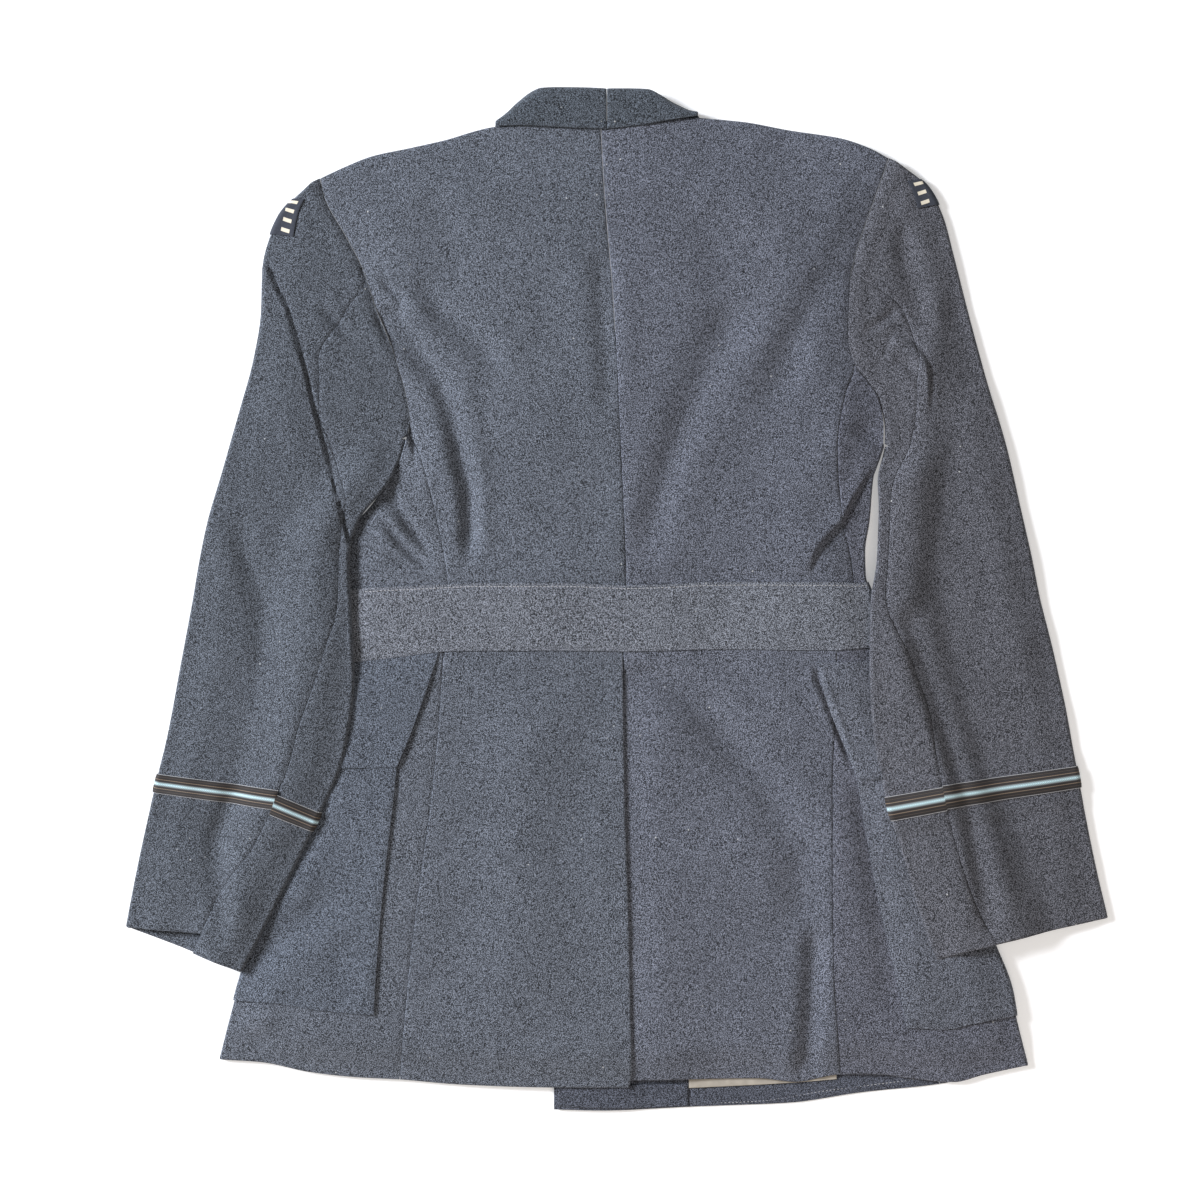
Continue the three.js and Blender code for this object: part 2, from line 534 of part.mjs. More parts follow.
// Buckle: a flat brass frame that lies on the table under the belt's ends
const BUCKLE = { width: 46, height: 60, bar: 7, thick: 0.9, middle: -15 };
const frame = new THREE.Shape();
frame.moveTo(-BUCKLE.width / 2, -BUCKLE.height / 2);
frame.lineTo(BUCKLE.width / 2, -BUCKLE.height / 2);
frame.lineTo(BUCKLE.width / 2, BUCKLE.height / 2);
frame.lineTo(-BUCKLE.width / 2, BUCKLE.height / 2);
const hole = new THREE.Path();
hole.moveTo(-BUCKLE.width / 2 + BUCKLE.bar, -BUCKLE.height / 2 + BUCKLE.bar);
hole.lineTo(BUCKLE.width / 2 - BUCKLE.bar, -BUCKLE.height / 2 + BUCKLE.bar);
hole.lineTo(BUCKLE.width / 2 - BUCKLE.bar, BUCKLE.height / 2 - BUCKLE.bar);
hole.lineTo(-BUCKLE.width / 2 + BUCKLE.bar, BUCKLE.height / 2 - BUCKLE.bar);
frame.holes.push(hole);
const brass = new THREE.MeshStandardMaterial({ color: COLOUR.brass, roughness: 0.35, metalness: 1 });
const buckle = new THREE.Mesh(new THREE.ExtrudeGeometry(frame, { depth: BUCKLE.thick, bevelEnabled: false }), brass);
buckle.name = "buckle";
buckle.position.set(BELT_EDGE, BUCKLE.middle, 0);
tunic.add(buckle);

// Buttons of the closed front, on the left front's outer face: height
const BUTTON = { radius: 10, thick: 2.3 };
[92, 64, 36, -78].forEach((y, i) => {
  const button = new THREE.Mesh(new THREE.CylinderGeometry(BUTTON.radius, BUTTON.radius, BUTTON.thick, 20), brass);
  button.name = `button_${i + 1}`;
  button.rotation.x = Math.PI / 2;
  button.position.set(BELT_EDGE, y, BUTTON.thick / 2);
  tunic.add(button);
});

// Lapels, turned out and so below the fronts here: height, outer edge, roll line
const LAPEL_THICK = 1.9;
const LAPEL = {
  left: [[296, -134, -64], [266, -141, -56], [220, -106, -44], [182, -64, -32]],
  right: [[296, 116, 34], [266, 122, 24], [220, 82, 4], [182, 34, -10]],
};
for (const [name, table] of Object.entries(LAPEL)) {
  const seats = table.map(([y, outer, roll]) => even(3).map((u) =>
    seat(lerp(outer, roll, u), y + (1 - u) * (y > 290 ? -12 : 0), 0, 0, 0, -1)));
  tunic.add(wall(`lapel_${name}`, seats, 0, -LAPEL_THICK, COLOUR.shade));
}

// Collar: from its outer edge on the back, over the fold, to the stand and the leaf in front.
// across, edge height, fold height, end of the hidden part across and height, and its lowest face
const COLLAR = {
  left: [
    [-8, 371.5, 404, -8, 379.5, 5], [-28, 372, 404.8, -30, 379.5, 5], [-48, 373, 405, -50, 379.5, 5],
    [-60, 373.6, 404.5, -58, 379, 4.6], [-66, 374, 402.5, -69, 345, 0.6], [-79, 374.2, 393, -98, 305, 0],
    [-88, 374, 384.5, -118, 302, 0], [-96, 373.4, 378.5, -132, 306, 0],
  ],
  right: [
    [-8, 371.5, 404, -8, 379.5, 5], [8, 373, 404, 10, 380, 5], [24, 375, 403.5, 24, 380.5, 5],
    [36, 377.5, 398, 34, 381, 4.6], [42, 378.6, 394.5, 52, 345, 0.6], [52, 380.3, 389.5, 78, 312, 0],
    [58, 381.2, 387, 98, 306, 0], [64, 382, 386, 114, 306, 0],
  ],
};
const COLLAR_WALL = 1.4;
const COLLAR_CLEAR = 0.5;     // above the back, which the edge lies on
for (const [name, table] of Object.entries(COLLAR)) {
  const inset = name === "left" ? -SEAM / 2 : SEAM / 2;
  const seats = table.map(([x, edge, fold, endX, endY, low], i) => {
    const shift = i === 0 ? inset : 0;
    const high = BODY + LIFT + lapRise(x) + COLLAR_CLEAR + COLLAR_WALL;
    const radius = (high - low) / 2;
    const depth = Math.min(radius, (fold - edge) * 0.45);
    const root = fold - depth;
    const row = even(2).map((t) => seat(x + shift, lerp(edge, root, t), high, 0, 0, 1));
    for (let k = 1; k < 4; k++) {
      const angle = Math.PI / 2 - (Math.PI * k) / 4;
      row.push(seat(x + shift, root + depth * Math.cos(angle), low + radius * (1 + Math.sin(angle)),
        0, Math.cos(angle), Math.sin(angle)));
    }
    return [...row, ...even(3).map((t) => seat(lerp(x, endX, t) + shift, lerp(root, endY, t), low, 0, 0, -1))];
  });
  tunic.add(wall(`collar_${name}`, seats, 0, -COLLAR_WALL, COLOUR.sleeve));
}

// Facing and lining on the right front's inside, where they show below the hem:
// across, lower edge, upper edge
const INSIDE = {
  facing_right: { wall: 0.9, colour: COLOUR.shade, rows: [[-48, -401, -385], [-30, -402, -385], [0, -403, -385], [25, -402.5, -384], [56, -401, -384]] },
  lining_right: { wall: 0.8, colour: COLOUR.lining, rows: [[57, -387, -375], [90, -385.5, -375], [120, -384, -375], [150, -382, -375], [174, -380, -374]] },
};
for (const [name, piece] of Object.entries(INSIDE)) {
  const seats = piece.rows.map(([x, foot, head]) => even(2).map((t) => {
    const y = lerp(foot, head, t);
    return seat(x, y, rightFrontHeight(x, y) + CLOTH + 1.5 * SEAM, 0, 0, 1);
  }));
  tunic.add(wall(name, seats, piece.wall, 0, piece.colour));
}

// Sleeves: a flattened tube each, seamed at the hind arm and under the forearm, joined to the
// armhole, flat on the table outside the body and lying on it within
for (const [name, table] of Object.entries(SECTIONS)) {
  const side = SIDES[name];
  const numbered = table.map((row, i) => [i, ...row]);
  const [outerX, outerY, innerX, innerY, seamAt] = [1, 2, 3, 4, 5].map((c) => through(numbered, c));
  const arm = UNDERARM[name];
  const last = table.length - 1;
  const armFoot = LEVELS[`fold_${name}`][0][1];
  const armHead = DOWN[`armhole_${name}`][0][0];
  const lace = LACE_AT[name];

  const sectionAt = (height) => {
    let [low, high] = [0, arm];
    for (let k = 0; k < 40; k++) {
      const middle = (low + high) / 2;
      if (innerY(middle) > height) low = middle;
      else high = middle;
    }
    return (low + high) / 2;
  };
  const b = bodySeats[name];
  const levels = b.rows.filter((v) => v <= side.join + 1e-9)
    .map((v) => between(LEVELS[`back_${name}`])(v)).slice(1);
  const low = DOWN[`seam_${name}`][0][0];
  const lowLevels = name === "left" ? [] : [1 / 3, 2 / 3].map((t) => lerp(low, armFoot, t));
  const upper = [0, ...[...levels, ...lowLevels].map(sectionAt)];
  const down = spread([arm, arm + 0.3, lace - 0.7, lace - LACE_HALF, lace + LACE_HALF, lace + 0.7, last], 0.68);
  const rows = [...upper, ...down];

  // Heights: level with the body at the armhole, on the table further out, on the body within
  const fromArm = (x, y) => {
    const nearY = clamp(y, armFoot, armHead);
    return Math.hypot(x - armholeAcross[name](nearY), y - nearY);
  };
  const stack = (y) => {
    const zone = (top, foot) => ease((top + 18 - y) / 14) * ease((y - foot + 18) / 14);
    return BODY + LIFT + ON_BODY + POCKET_RISE * (zone(14, -334) + zone(-40, -140));
  };
  const laceY = (x) => lerp(outerY(lace), innerY(lace), (x - outerX(lace)) / (innerX(lace) - outerX(lace)));
  const underHeight = (x, y) => {
    const free = ease(fromArm(x, y) / 36);
    const within = y < armFoot + 10 ? side.sign * (foldAcross[name](y) - x) : -100;
    const onBody = stack(y) * ease((within + 60) / 44) * ease((y + 392) / 20);
    const overLace = POCKET_RISE * ease((26 - Math.abs(y - laceY(x))) / 12);
    return lerp(LIFT, onBody + overLace, free);
  };
  const topHeight = (x, y) => {
    const free = ease(fromArm(x, y) / 36);
    const folds = foldRise(SLEEVE_FOLDS[name], x, y);
    return lerp(backHeight(x, Math.min(y, armHead - 14)), underHeight(x, y) + SLEEVE + Math.max(folds, -SLEEVE_TROUGH), free);
  };

  const outerPoint = (q) => [outerX(q), outerY(q)];
  const innerPoint = (q) => {
    const y = innerY(q);
    if (q > arm) return [innerX(q), y];
    return [armholeAcross[name](y) + side.sign * SEAM / 2, y];
  };
  const unit = (a, c) => {
    const d = Math.hypot(c[0] - a[0], c[1] - a[1]);
    return [(c[0] - a[0]) / d, (c[1] - a[1]) / d];
  };
  const shifted = (a, by) => [a[0] + by[0], a[1] + by[1]];
  const within = (a, c, t) => [lerp(a[0], c[0], t), lerp(a[1], c[1], t)];
  const seamGap = SEAM / 2 / 120;
  const seamFrom = rows[rows.findIndex((q) => q >= SEAM_START[name]) - 1] - 1e-6;
  const hindSeam = (q) => Math.min(seamAt(q), SEAM_HEAD);
  const forearm = (q) => (q < arm - 1e-9 ? 1 : lerp(0.94, 0.8, ease((q - arm) / 2)));

  const [bendTop, bendUnder] = CUFF_BEND[name].map((line) => through(line));
  const alongSeam = (d) => [-side.sign * SEAM_SLANT * d, d];
  const topRows = rows.map((q) => {
    const outerEdge = outerPoint(q);
    const innerEdge = innerPoint(q);
    const bend = (t) => alongSeam(bendTop(q) * (1 - t));
    const seam = q < seamFrom ? 1 : hindSeam(q) - seamGap;
    const fore = forearm(q) === 1 ? 1 : forearm(q) - seamGap;
    return turnedRow(outerEdge, unit(outerEdge, innerEdge),
      (t, root) => shifted(within(within(outerEdge, innerEdge, seam), root, t), bend(t)),
      (t, root) => within(root, within(outerEdge, innerEdge, fore), t),
      { top: even(6), turn: 4, under: even(6) }, topHeight, underHeight);
  });
  tunic.add(wall(`sleeve_${name}_top`, topRows, 0, -CLOTH, COLOUR.sleeve));

  const underRows = rows.filter((q) => q >= seamFrom).map((q) => {
    const outerEdge = outerPoint(q);
    const innerEdge = innerPoint(q);
    const seam = hindSeam(q) + seamGap;
    const bend = (t) => alongSeam(bendUnder(q) * (1 - t));
    const row = turnedRow(innerEdge, unit(innerEdge, outerEdge),
      (t, root) => shifted(
        within(within(outerEdge, innerEdge, seam), q < arm - 1e-9 ? innerEdge : root, t), bend(t)),
      (t, root) => within(root, within(outerEdge, innerEdge, forearm(q) + seamGap), t),
      { top: even(4), turn: 4, under: even(3) }, topHeight, underHeight);
    row.section = q;
    return row;
  });
  const isTube = (i) => underRows[i].section >= arm - 1e-9;
  tunic.add(wall(`sleeve_${name}_under`, underRows, 0, -CLOTH, COLOUR.sleeve,
    (i, j) => j < 4 || isTube(i)));

  // Rank lace round the cuff, on both pieces of the sleeve
  const laceRows = [lace - LACE_HALF, lace + LACE_HALF].map((q) => {
    const whole = topRows[rows.findIndex((r) => Math.abs(r - q) < 1e-9)];
    const narrow = underRows.find((r) => Math.abs(r.section - q) < 1e-9);
    return [...[...whole].reverse(), ...narrow];
  });
  tunic.add(wall(`lace_${name}`, laceRows, SEAM + LACE_WALL, SEAM, COLOUR.lace));

  // Shoulder patch, on the sleeve head beside the outer edge
  const patchRows = topRows.slice(1, 4).map((row) => row.slice(5, 9));
  tunic.add(wall(`patch_${name}`, patchRows, SEAM + LACE_WALL, SEAM, COLOUR.patch));
}

export default tunic;
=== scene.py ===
"""A belted uniform tunic laid flat on its front. Sizes are in millimetres, and meshes in metres."""
import math

import bpy
import numpy as np
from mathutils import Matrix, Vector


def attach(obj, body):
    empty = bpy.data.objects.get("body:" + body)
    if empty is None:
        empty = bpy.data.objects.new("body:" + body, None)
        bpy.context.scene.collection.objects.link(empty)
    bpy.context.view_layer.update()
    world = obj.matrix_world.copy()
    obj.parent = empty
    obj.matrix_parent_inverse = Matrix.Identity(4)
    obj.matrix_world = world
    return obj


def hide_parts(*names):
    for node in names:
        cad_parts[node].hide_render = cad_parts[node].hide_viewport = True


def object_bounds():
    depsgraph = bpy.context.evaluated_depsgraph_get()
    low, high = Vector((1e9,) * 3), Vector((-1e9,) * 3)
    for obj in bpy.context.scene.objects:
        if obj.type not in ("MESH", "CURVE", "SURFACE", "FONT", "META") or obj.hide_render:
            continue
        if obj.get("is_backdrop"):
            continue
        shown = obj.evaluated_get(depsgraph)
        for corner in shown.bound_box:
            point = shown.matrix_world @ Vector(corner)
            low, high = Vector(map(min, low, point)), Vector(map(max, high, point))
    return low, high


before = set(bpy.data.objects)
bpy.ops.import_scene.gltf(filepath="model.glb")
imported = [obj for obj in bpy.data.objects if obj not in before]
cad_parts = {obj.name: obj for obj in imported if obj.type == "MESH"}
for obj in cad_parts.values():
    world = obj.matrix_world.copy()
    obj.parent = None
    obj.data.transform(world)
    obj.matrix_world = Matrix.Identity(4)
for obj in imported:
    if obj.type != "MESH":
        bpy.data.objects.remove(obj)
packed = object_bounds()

# Table and light: a plain white light table under a soft studio sky, with a large lamp at the upper left
# whose light is cooler than the fill from the right, and a camera straight above.
def linear(code):
    """A linear colour from an sRGB one written as six hexadecimal digits."""
    parts = [int(code[i:i + 2], 16) / 255 for i in (0, 2, 4)]
    return [c / 12.92 if c <= 0.04045 else ((c + 0.055) / 1.055) ** 2.4 for c in parts] + [1.0]


def add(tree, kind, inputs=(), **settings):
    """Adds a node with its settings; an input takes a value or another node's output."""
    made = tree.nodes.new("ShaderNode" + kind)
    for key, value in settings.items():
        setattr(made, key, value)
    for key, value in dict(inputs).items():
        if isinstance(value, bpy.types.NodeSocket):
            tree.links.new(value, made.inputs[key])
        else:
            made.inputs[key].default_value = value
    return made


def surface(name, rough):
    """A new material with its tree and its main shader."""
    material = bpy.data.materials.new(name)
    material.use_nodes = True
    shader = material.node_tree.nodes["Principled BSDF"]
    shader.inputs["Roughness"].default_value = rough
    return material, material.node_tree, shader


TABLE = 4              # half of the table's side, in metres
board = bpy.data.meshes.new("table")
corners = [(-TABLE, -TABLE, 0), (TABLE, -TABLE, 0), (TABLE, TABLE, 0), (-TABLE, TABLE, 0)]
board.from_pydata(corners, [], [(0, 1, 2, 3)])
table = bpy.data.objects.new("table", board)
bpy.context.collection.objects.link(table)
# Opal acrylic of a light table: matt white, lit faintly from below, so no shadow greys the outline
paint, tree, shader = surface("opal acrylic", 0.8)
shader.inputs["Base Color"].default_value = linear("f7f7f6")
shader.inputs["Specular IOR Level"].default_value = 0.1
shader.inputs["Emission Color"].default_value = linear("ffffff")
shader.inputs["Emission Strength"].default_value = 0.3
board.materials.append(paint)
table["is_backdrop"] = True

sky = bpy.data.worlds.new("studio")
bpy.context.scene.world = sky
sky.use_nodes = True
sky.node_tree.nodes["Background"].inputs["Color"].default_value = linear("fbfbfd")
sky.node_tree.nodes["Background"].inputs["Strength"].default_value = 0.27

# Each lamp: its place and size in metres, its power in watts and its colour. Both face the garment
for name, place, size, power, tint in [
    ("key lamp", (-4.5, 1.6, 2.5), 1.5, 530, "f2f6ff"),
    ("fill lamp", (0.6, -1.5, 1.3), 1.4, 14, "fff0e2"),
]:
    lamp = bpy.data.lights.new(name, "AREA")
    lamp.size = size
    lamp.energy = power
    lamp.color = linear(tint)[:3]
    holder = bpy.data.objects.new(name, lamp)
    holder.location = place
    holder.rotation_mode = "QUATERNION"
    holder.rotation_quaternion = Vector(place).to_track_quat("Z", "Y")
    bpy.context.collection.objects.link(holder)

LENS, SENSOR = 85, 36
PICTURE = 0.948        # the picture's width where the garment lies, in metres
MIDDLE = (-0.0134, -0.0004, 0.009)
lens = bpy.data.cameras.new("camera")
lens.lens = LENS
camera = bpy.data.objects.new("camera", lens)
camera.location = (MIDDLE[0], MIDDLE[1], PICTURE / SENSOR * LENS + MIDDLE[2])
bpy.context.collection.objects.link(camera)
bpy.context.scene.camera = camera
bpy.context.scene.view_settings.view_transform = "Standard"


# Fronts: the two forepart panels of wool barathea, face down on the table. The right one's edge and
# hem reach below the back's hem, where its facing and a sliver of the lining show.
CLOTH = 1.5            # wall of the barathea
SEAM = 0.3             # gap between two pieces at a seam
LIFT = 2.7             # the fronts lie this high, on their pockets, lapels and buttons
FRONT_LAP = 1.9        # rise of the right front over the left one
LAP_FROM, LAP_TO = 2, 26                     # it comes down between these, across the body
LAP_HEAD, LAP_SLOPE = 200, 30                # and starts below this height
HEM_RISE = 35          # the fronts come down to the table over this length above the hem
BACK_LONG = 760        # from the collar's seam to the hem
BELT_TOP, BELT_FOOT = 0.474, 0.5435          # the belt's edges, as rows
JOIN = {"left": 0.294, "right": 0.23}        # the row where the side-back seam meets the armhole
SIGN = {"left": -1, "right": 1}

# Rows run from the shoulder at 0 to the hem at 1. Height of each line at the rows: row, height
LEVELS = {
    "under_left": [(0, 333), (JOIN["left"], 134), (BELT_TOP, 9), (BELT_FOOT, -46), (1, -369)],
    "under_right": [(0, 349), (JOIN["right"], 186), (BELT_TOP, 14), (BELT_FOOT, -38), (1, -384)],
    "edge_left": [(0, 374), (BELT_TOP, 10), (BELT_FOOT, -41), (1, -383)],
    "edge_right": [(0, 378), (BELT_TOP, 10), (BELT_FOOT, -41), (1, -404)],
}
# Lines that run down the body: height, across
DOWN = {
    "armhole_left": [(333, -235), (317, -231), (290, -216), (261, -201), (231, -191), (199, -178),
                     (161, -167), (141, -164), (134, -165), (127, -167)],
    "armhole_right": [(349, 215), (326, 207), (301, 198), (277, 190), (250, 184), (208, 182.5),
                      (186, 188), (170, 200), (159, 207), (134, 212), (121, 212)],
    "under_left": [(134, -165), (110, -162), (80, -160), (50, -164), (10, -170), (-41, -178),
                   (-150, -192), (-250, -217), (-369, -252)],
    "under_right": [(186, 188), (150, 188), (110, 186), (62, 178), (20, 172), (-41, 174), (-150, 192),
                    (-250, 222), (-384, 256)],
    "edge_left": [(374, -75), (330, -66), (250, -46), (170, -24), (100, -3), (-383, -3)],
    "edge_right": [(378, 58), (330, 42), (250, 14), (170, -20), (100, -50), (-404, -50)],
}
# Lines that run across the body: across, height
ACROSS = {
    "shoulder_left": [(-235, 333), (-216, 342), (-193, 351), (-165, 357), (-138, 363), (-100, 373),
                      (-60, 377), (-13, 378)],
    "shoulder_right": [(-13, 378), (30, 378), (58, 381), (98, 378), (138, 371), (176, 365),
                       (200, 357), (215, 349)],
    "hem_left": [(-315, -364), (-284, -366), (-244, -374), (-209, -378), (-172, -380), (-123, -384),
                 (-49, -386), (10, -386)],
    "hem_right": [(-2, -381), (112, -379), (142, -382), (177, -376), (208, -376), (233, -379),
                  (268, -382), (293, -376), (326, -369)],
    "front_hem_left": [(-315, -364), (-284, -361), (-252, -369), (-209, -375), (-123, -381),
                       (-49, -383), (-3, -383)],
    "front_hem_right": [(-50, -404.4), (-13, -405.2), (66, -402), (137, -399), (192, -391),
                        (256, -384), (326, -369)],
}


def ease(t):
    """A soft step from 0 to 1."""
    t = np.clip(t, 0, 1)
    return t * t * (3 - 2 * t)


def through(line, column=1):
    """A smooth curve through a table of points, with no overshoot."""
    rows = sorted(line)
    key = np.array([r[0] for r in rows], float)
    value = np.array([r[column] for r in rows], float)
    slope = np.diff(value) / np.diff(key)
    both = slope[:-1] * slope[1:]
    total = np.where(both > 0, slope[:-1] + slope[1:], 1)
    tangent = np.concatenate([slope[:1], np.where(both > 0, 2 * both / total, 0), slope[-1:]])

    def at(x):
        x = np.clip(np.asarray(x, float), key[0], key[-1])
        i = np.clip(np.searchsorted(key, x) - 1, 0, len(key) - 2)
        span = key[i + 1] - key[i]
        t = (x - key[i]) / span
        return (
            (2 * t**3 - 3 * t**2 + 1) * value[i] + (t**3 - 2 * t**2 + t) * span * tangent[i]
            + (3 * t**2 - 2 * t**3) * value[i + 1] + (t**3 - t**2) * span * tangent[i + 1]
        )
    return at


def runs_down(line, levels, start=0.0):
    """Points down the body by row, from the start row to the hem."""
    across = through(line)
    rows, heights = zip(*levels)

    def at(t):
        y = np.interp(start + (1 - start) * np.asarray(t, float), rows, heights)
        return np.stack([across(y), y], -1)
    return at


def past_arm(line, side):
    """A line that runs down the armhole first and then on down the body."""
    below = DOWN[f"{line}_{side}"]
    return [r for r in DOWN["armhole_" + side] if r[0] >= below[0][0]] + below[1:]


def runs_across(line, a, b):
    """Points across the body from a to b."""
    height = through(line)

    def at(t):
        x = a + (b - a) * np.asarray(t, float)
        return np.stack([x, height(x)], -1)
    return at


def patch(top, foot, left, right):
    """Points between four edges."""
    def at(u, v):
        u, v = np.broadcast_arrays(u, v)
        s, t = u[..., None], v[..., None]
        chord_top = (1 - s) * top(0.0) + s * top(1.0)
        chord_foot = (1 - s) * foot(0.0) + s * foot(1.0)
        return ((1 - s) * left(v) + s * right(v) + (1 - t) ** 3 * (top(u) - chord_top)
                + t**3 * (foot(u) - chord_foot))
    return at


def steps(keys, most):
    """Even steps between the keys, none longer than most, with a short one at each end."""
    out = [np.array([keys[0]])]
    for a, b in zip(keys, keys[1:]):
        out.append(np.linspace(a, b, max(1, math.ceil((b - a) / most - 0.01)) + 1)[1:])
    out = np.concatenate(out)
    near = min(most, out[1] - out[0]) * 0.3
    return np.concatenate([out[:1], [out[0] + near], out[1:-1], [out[-1] - near], out[-1:]])


def uneven(x, y, size, seed):
    """Soft irregular waves of about that size, from -1 to 1, as hand-laid cloth has."""
    total = 0
    for k in range(7):
        angle = 2.4 * k + 1.7 * seed
        wave = 2 * math.pi / size * (0.6 + 0.13 * ((k * 5 + seed) % 7))
        total = total + np.sin((x * math.cos(angle) + y * math.sin(angle)) * wave + 2.1 * k + 0.9 * seed)
    return total / 4


RIM = 0.3              # how far a rim is rounded off, as a share of the wall
SHARP = 62             # degrees between two faces that meet in a crisp edge


def shell(name, points, out, outer, inner, material, keep=None, uv=None):
    """A closed wall of cloth between two offsets from a grid of points, with a soft rim."""
    rows, columns = points.shape[:2]
    keep = np.ones((rows - 1, columns - 1), bool) if keep is None else keep
    index = np.arange(rows * columns).reshape(rows, columns)
    corner = [index[:-1, :-1], index[:-1, 1:], index[1:, 1:], index[1:, :-1]]
    pad = np.pad(keep, 1)
    gone = [~pad[:-2, 1:-1], ~pad[1:-1, 2:], ~pad[2:, 1:-1], ~pad[1:-1, :-2]]
    count = rows * columns
    quads = [np.stack([c[keep] for c in corner], -1)]
    quads.append(quads[0][:, ::-1] + count)
    rim = np.zeros(count, bool)
    for k in range(4):
        free = keep & gone[k]
        p, q = corner[k][free], corner[(k + 1) % 4][free]
        rim[p] = rim[q] = True
        quads.append(np.stack([q, p, p + count, q + count], -1))
    quads = np.concatenate(quads)
    outer = np.broadcast_to(np.asarray(outer, float), (rows, columns)).reshape(-1)
    inner = np.broadcast_to(np.asarray(inner, float), (rows, columns)).reshape(-1)
    round_off = RIM * (outer - inner) * rim
    flat_points, flat_out = points.reshape(-1, 3), out.reshape(-1, 3)
    places = np.concatenate([
        flat_points + flat_out * (outer - round_off)[:, None],
        flat_points + flat_out * (inner + round_off)[:, None],
    ])
    used, quads = np.unique(quads, return_inverse=True)
    quads = quads.reshape(-1, 4)
    places = places[used] / 1000
    a, b, c = (places[quads[:, k]] for k in range(3))
    if np.einsum("ij,ij->", a, np.cross(b, c)) < 0:
        quads = quads[:, ::-1]
    mesh = bpy.data.meshes.new(name)
    mesh.from_pydata(places.tolist(), [], quads.tolist())
    if uv is not None:
        flat = np.tile(uv.reshape(-1, 2), (2, 1))[used][quads.reshape(-1)]
        mesh.uv_layers.new(name="cloth").data.foreach_set("uv", flat.reshape(-1))
    mesh.polygons.foreach_set("use_smooth", [True] * len(mesh.polygons))
    mesh.set_sharp_from_angle(angle=math.radians(SHARP))
    mesh.materials.append(material)
    piece = bpy.data.objects.new(name, mesh)
    bpy.context.collection.objects.link(piece)
    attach(piece, "root")
    return piece


def laid(node):
    """Hides the solid that a cloth piece stands for."""
    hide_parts(node)


# Barathea's patterns, as repeats in a metre. Its yarn is 0.4 mm apart, too fine to show, so the yarn,
# the flecks of single fibres and the weave's ribs are drawn 0.6 to 0.8 mm apart
YARN, FLECK, RIB = 1700, 1400, 1300
WEAR = 14              # uneven patches, 70 mm apart
LINT, LINT_PATCH = 95, 31                    # pale fibres, 11 mm apart, in patches 32 mm apart
DARK_FIBRE, LIGHT_FIBRE = 0.2, 4.0           # against the cloth's mean colour


def barathea(name, tint):
    """Wool barathea, dyed in the yarn: a heather of light and dark fibre, matt, with a short nap."""
    material, tree, shader = surface(name, 0.92)
    place = add(tree, "TexCoord").outputs["Object"]
    # Single fibres of another shade give the salt-and-pepper look
    yarn = add(tree, "TexNoise", {"Vector": place, "Scale": YARN, "Detail": 1, "Roughness": 0.6})
    fleck = add(tree, "TexVoronoi", {"Vector": place, "Scale": FLECK, "Randomness": 1.0})
    slub = add(tree, "Mapping", {"Vector": place, "Scale": (1.0, 0.4, 1.0)})
    rib = add(tree, "TexNoise", {"Vector": slub.outputs[0], "Scale": RIB, "Detail": 1})
    # Wear and handling: the dye is a little uneven over a few centimetres
    wear = add(tree, "TexNoise", {"Vector": place, "Scale": WEAR, "Detail": 4, "Roughness": 0.6})
    grain = add(tree, "Math", {0: yarn.outputs["Fac"], 1: 0.75, 2: 0.125}, operation="MULTIPLY_ADD")
    dots = add(tree, "Math", {0: fleck.outputs["Distance"], 1: -0.5, 2: grain.outputs[0]},
               operation="MULTIPLY_ADD")
    mixed = add(tree, "Math", {0: rib.outputs["Fac"], 1: 0.3, 2: dots.outputs[0]}, operation="MULTIPLY_ADD")
    # The three together run from dark to light fibre over a narrow range, so single dots stand out
    # A piece's tint is the cloth's own colour plus painted light and shade: each piece of the one barathea
    # gets its own shade, lighter or darker as the light falls on it
    base = linear(tint)[:3]
    ramp = add(tree, "ValToRGB", {"Fac": mixed.outputs[0]})
    ramp.color_ramp.elements[0].position = 0.32
    ramp.color_ramp.elements[0].color = (*[c * DARK_FIBRE for c in base], 1)
    ramp.color_ramp.elements[1].position = 0.6
    ramp.color_ramp.elements[1].color = (*[min(1, c * LIGHT_FIBRE) for c in base], 1)
    # Lint: a few pale fibres caught in the nap
    speck = add(tree, "TexVoronoi", {"Vector": place, "Scale": LINT, "Randomness": 1.0})
    few = add(tree, "TexNoise", {"Vector": place, "Scale": LINT_PATCH, "Detail": 0})
    near = add(tree, "MapRange", {"Value": speck.outputs["Distance"], 1: 0.04, 2: 0.075, 3: 1.0, 4: 0.0})
    some = add(tree, "MapRange", {"Value": few.outputs["Fac"], 1: 0.6, 2: 0.68, 3: 0.0, 4: 0.8})
    lint = add(tree, "Math", {0: near.outputs[0], 1: some.outputs[0]}, operation="MULTIPLY")
    tone = add(tree, "MapRange", {"Value": wear.outputs["Fac"], 1: 0.3, 2: 0.7, 3: 0.92, 4: 1.08})
    wool = add(tree, "VectorMath", {0: ramp.outputs["Color"], "Scale": tone.outputs[0]}, operation="SCALE")
    dyed = add(tree, "Mix", {0: lint.outputs[0], 6: wool.outputs[0], 7: linear("c9cac8")}, data_type="RGBA")
    tree.links.new(dyed.outputs[2], shader.inputs["Base Color"])
    bump = add(tree, "Bump", {"Height": mixed.outputs[0], "Strength": 0.35, "Distance": 0.0005})
    tree.links.new(bump.outputs[0], shader.inputs["Normal"])
    shader.inputs["Specular IOR Level"].default_value = 0.15
    shader.inputs["Sheen Weight"].default_value = 0.12
    shader.inputs["Sheen Roughness"].default_value = 0.6
    return material


hem_height = through(ACROSS["hem_left"] + ACROSS["hem_right"][1:])


def lift(x, y):
    """Height of the fronts' outer face over the table: down to it at the hem."""
    return LIFT * ease((y - hem_height(x)) / HEM_RISE)


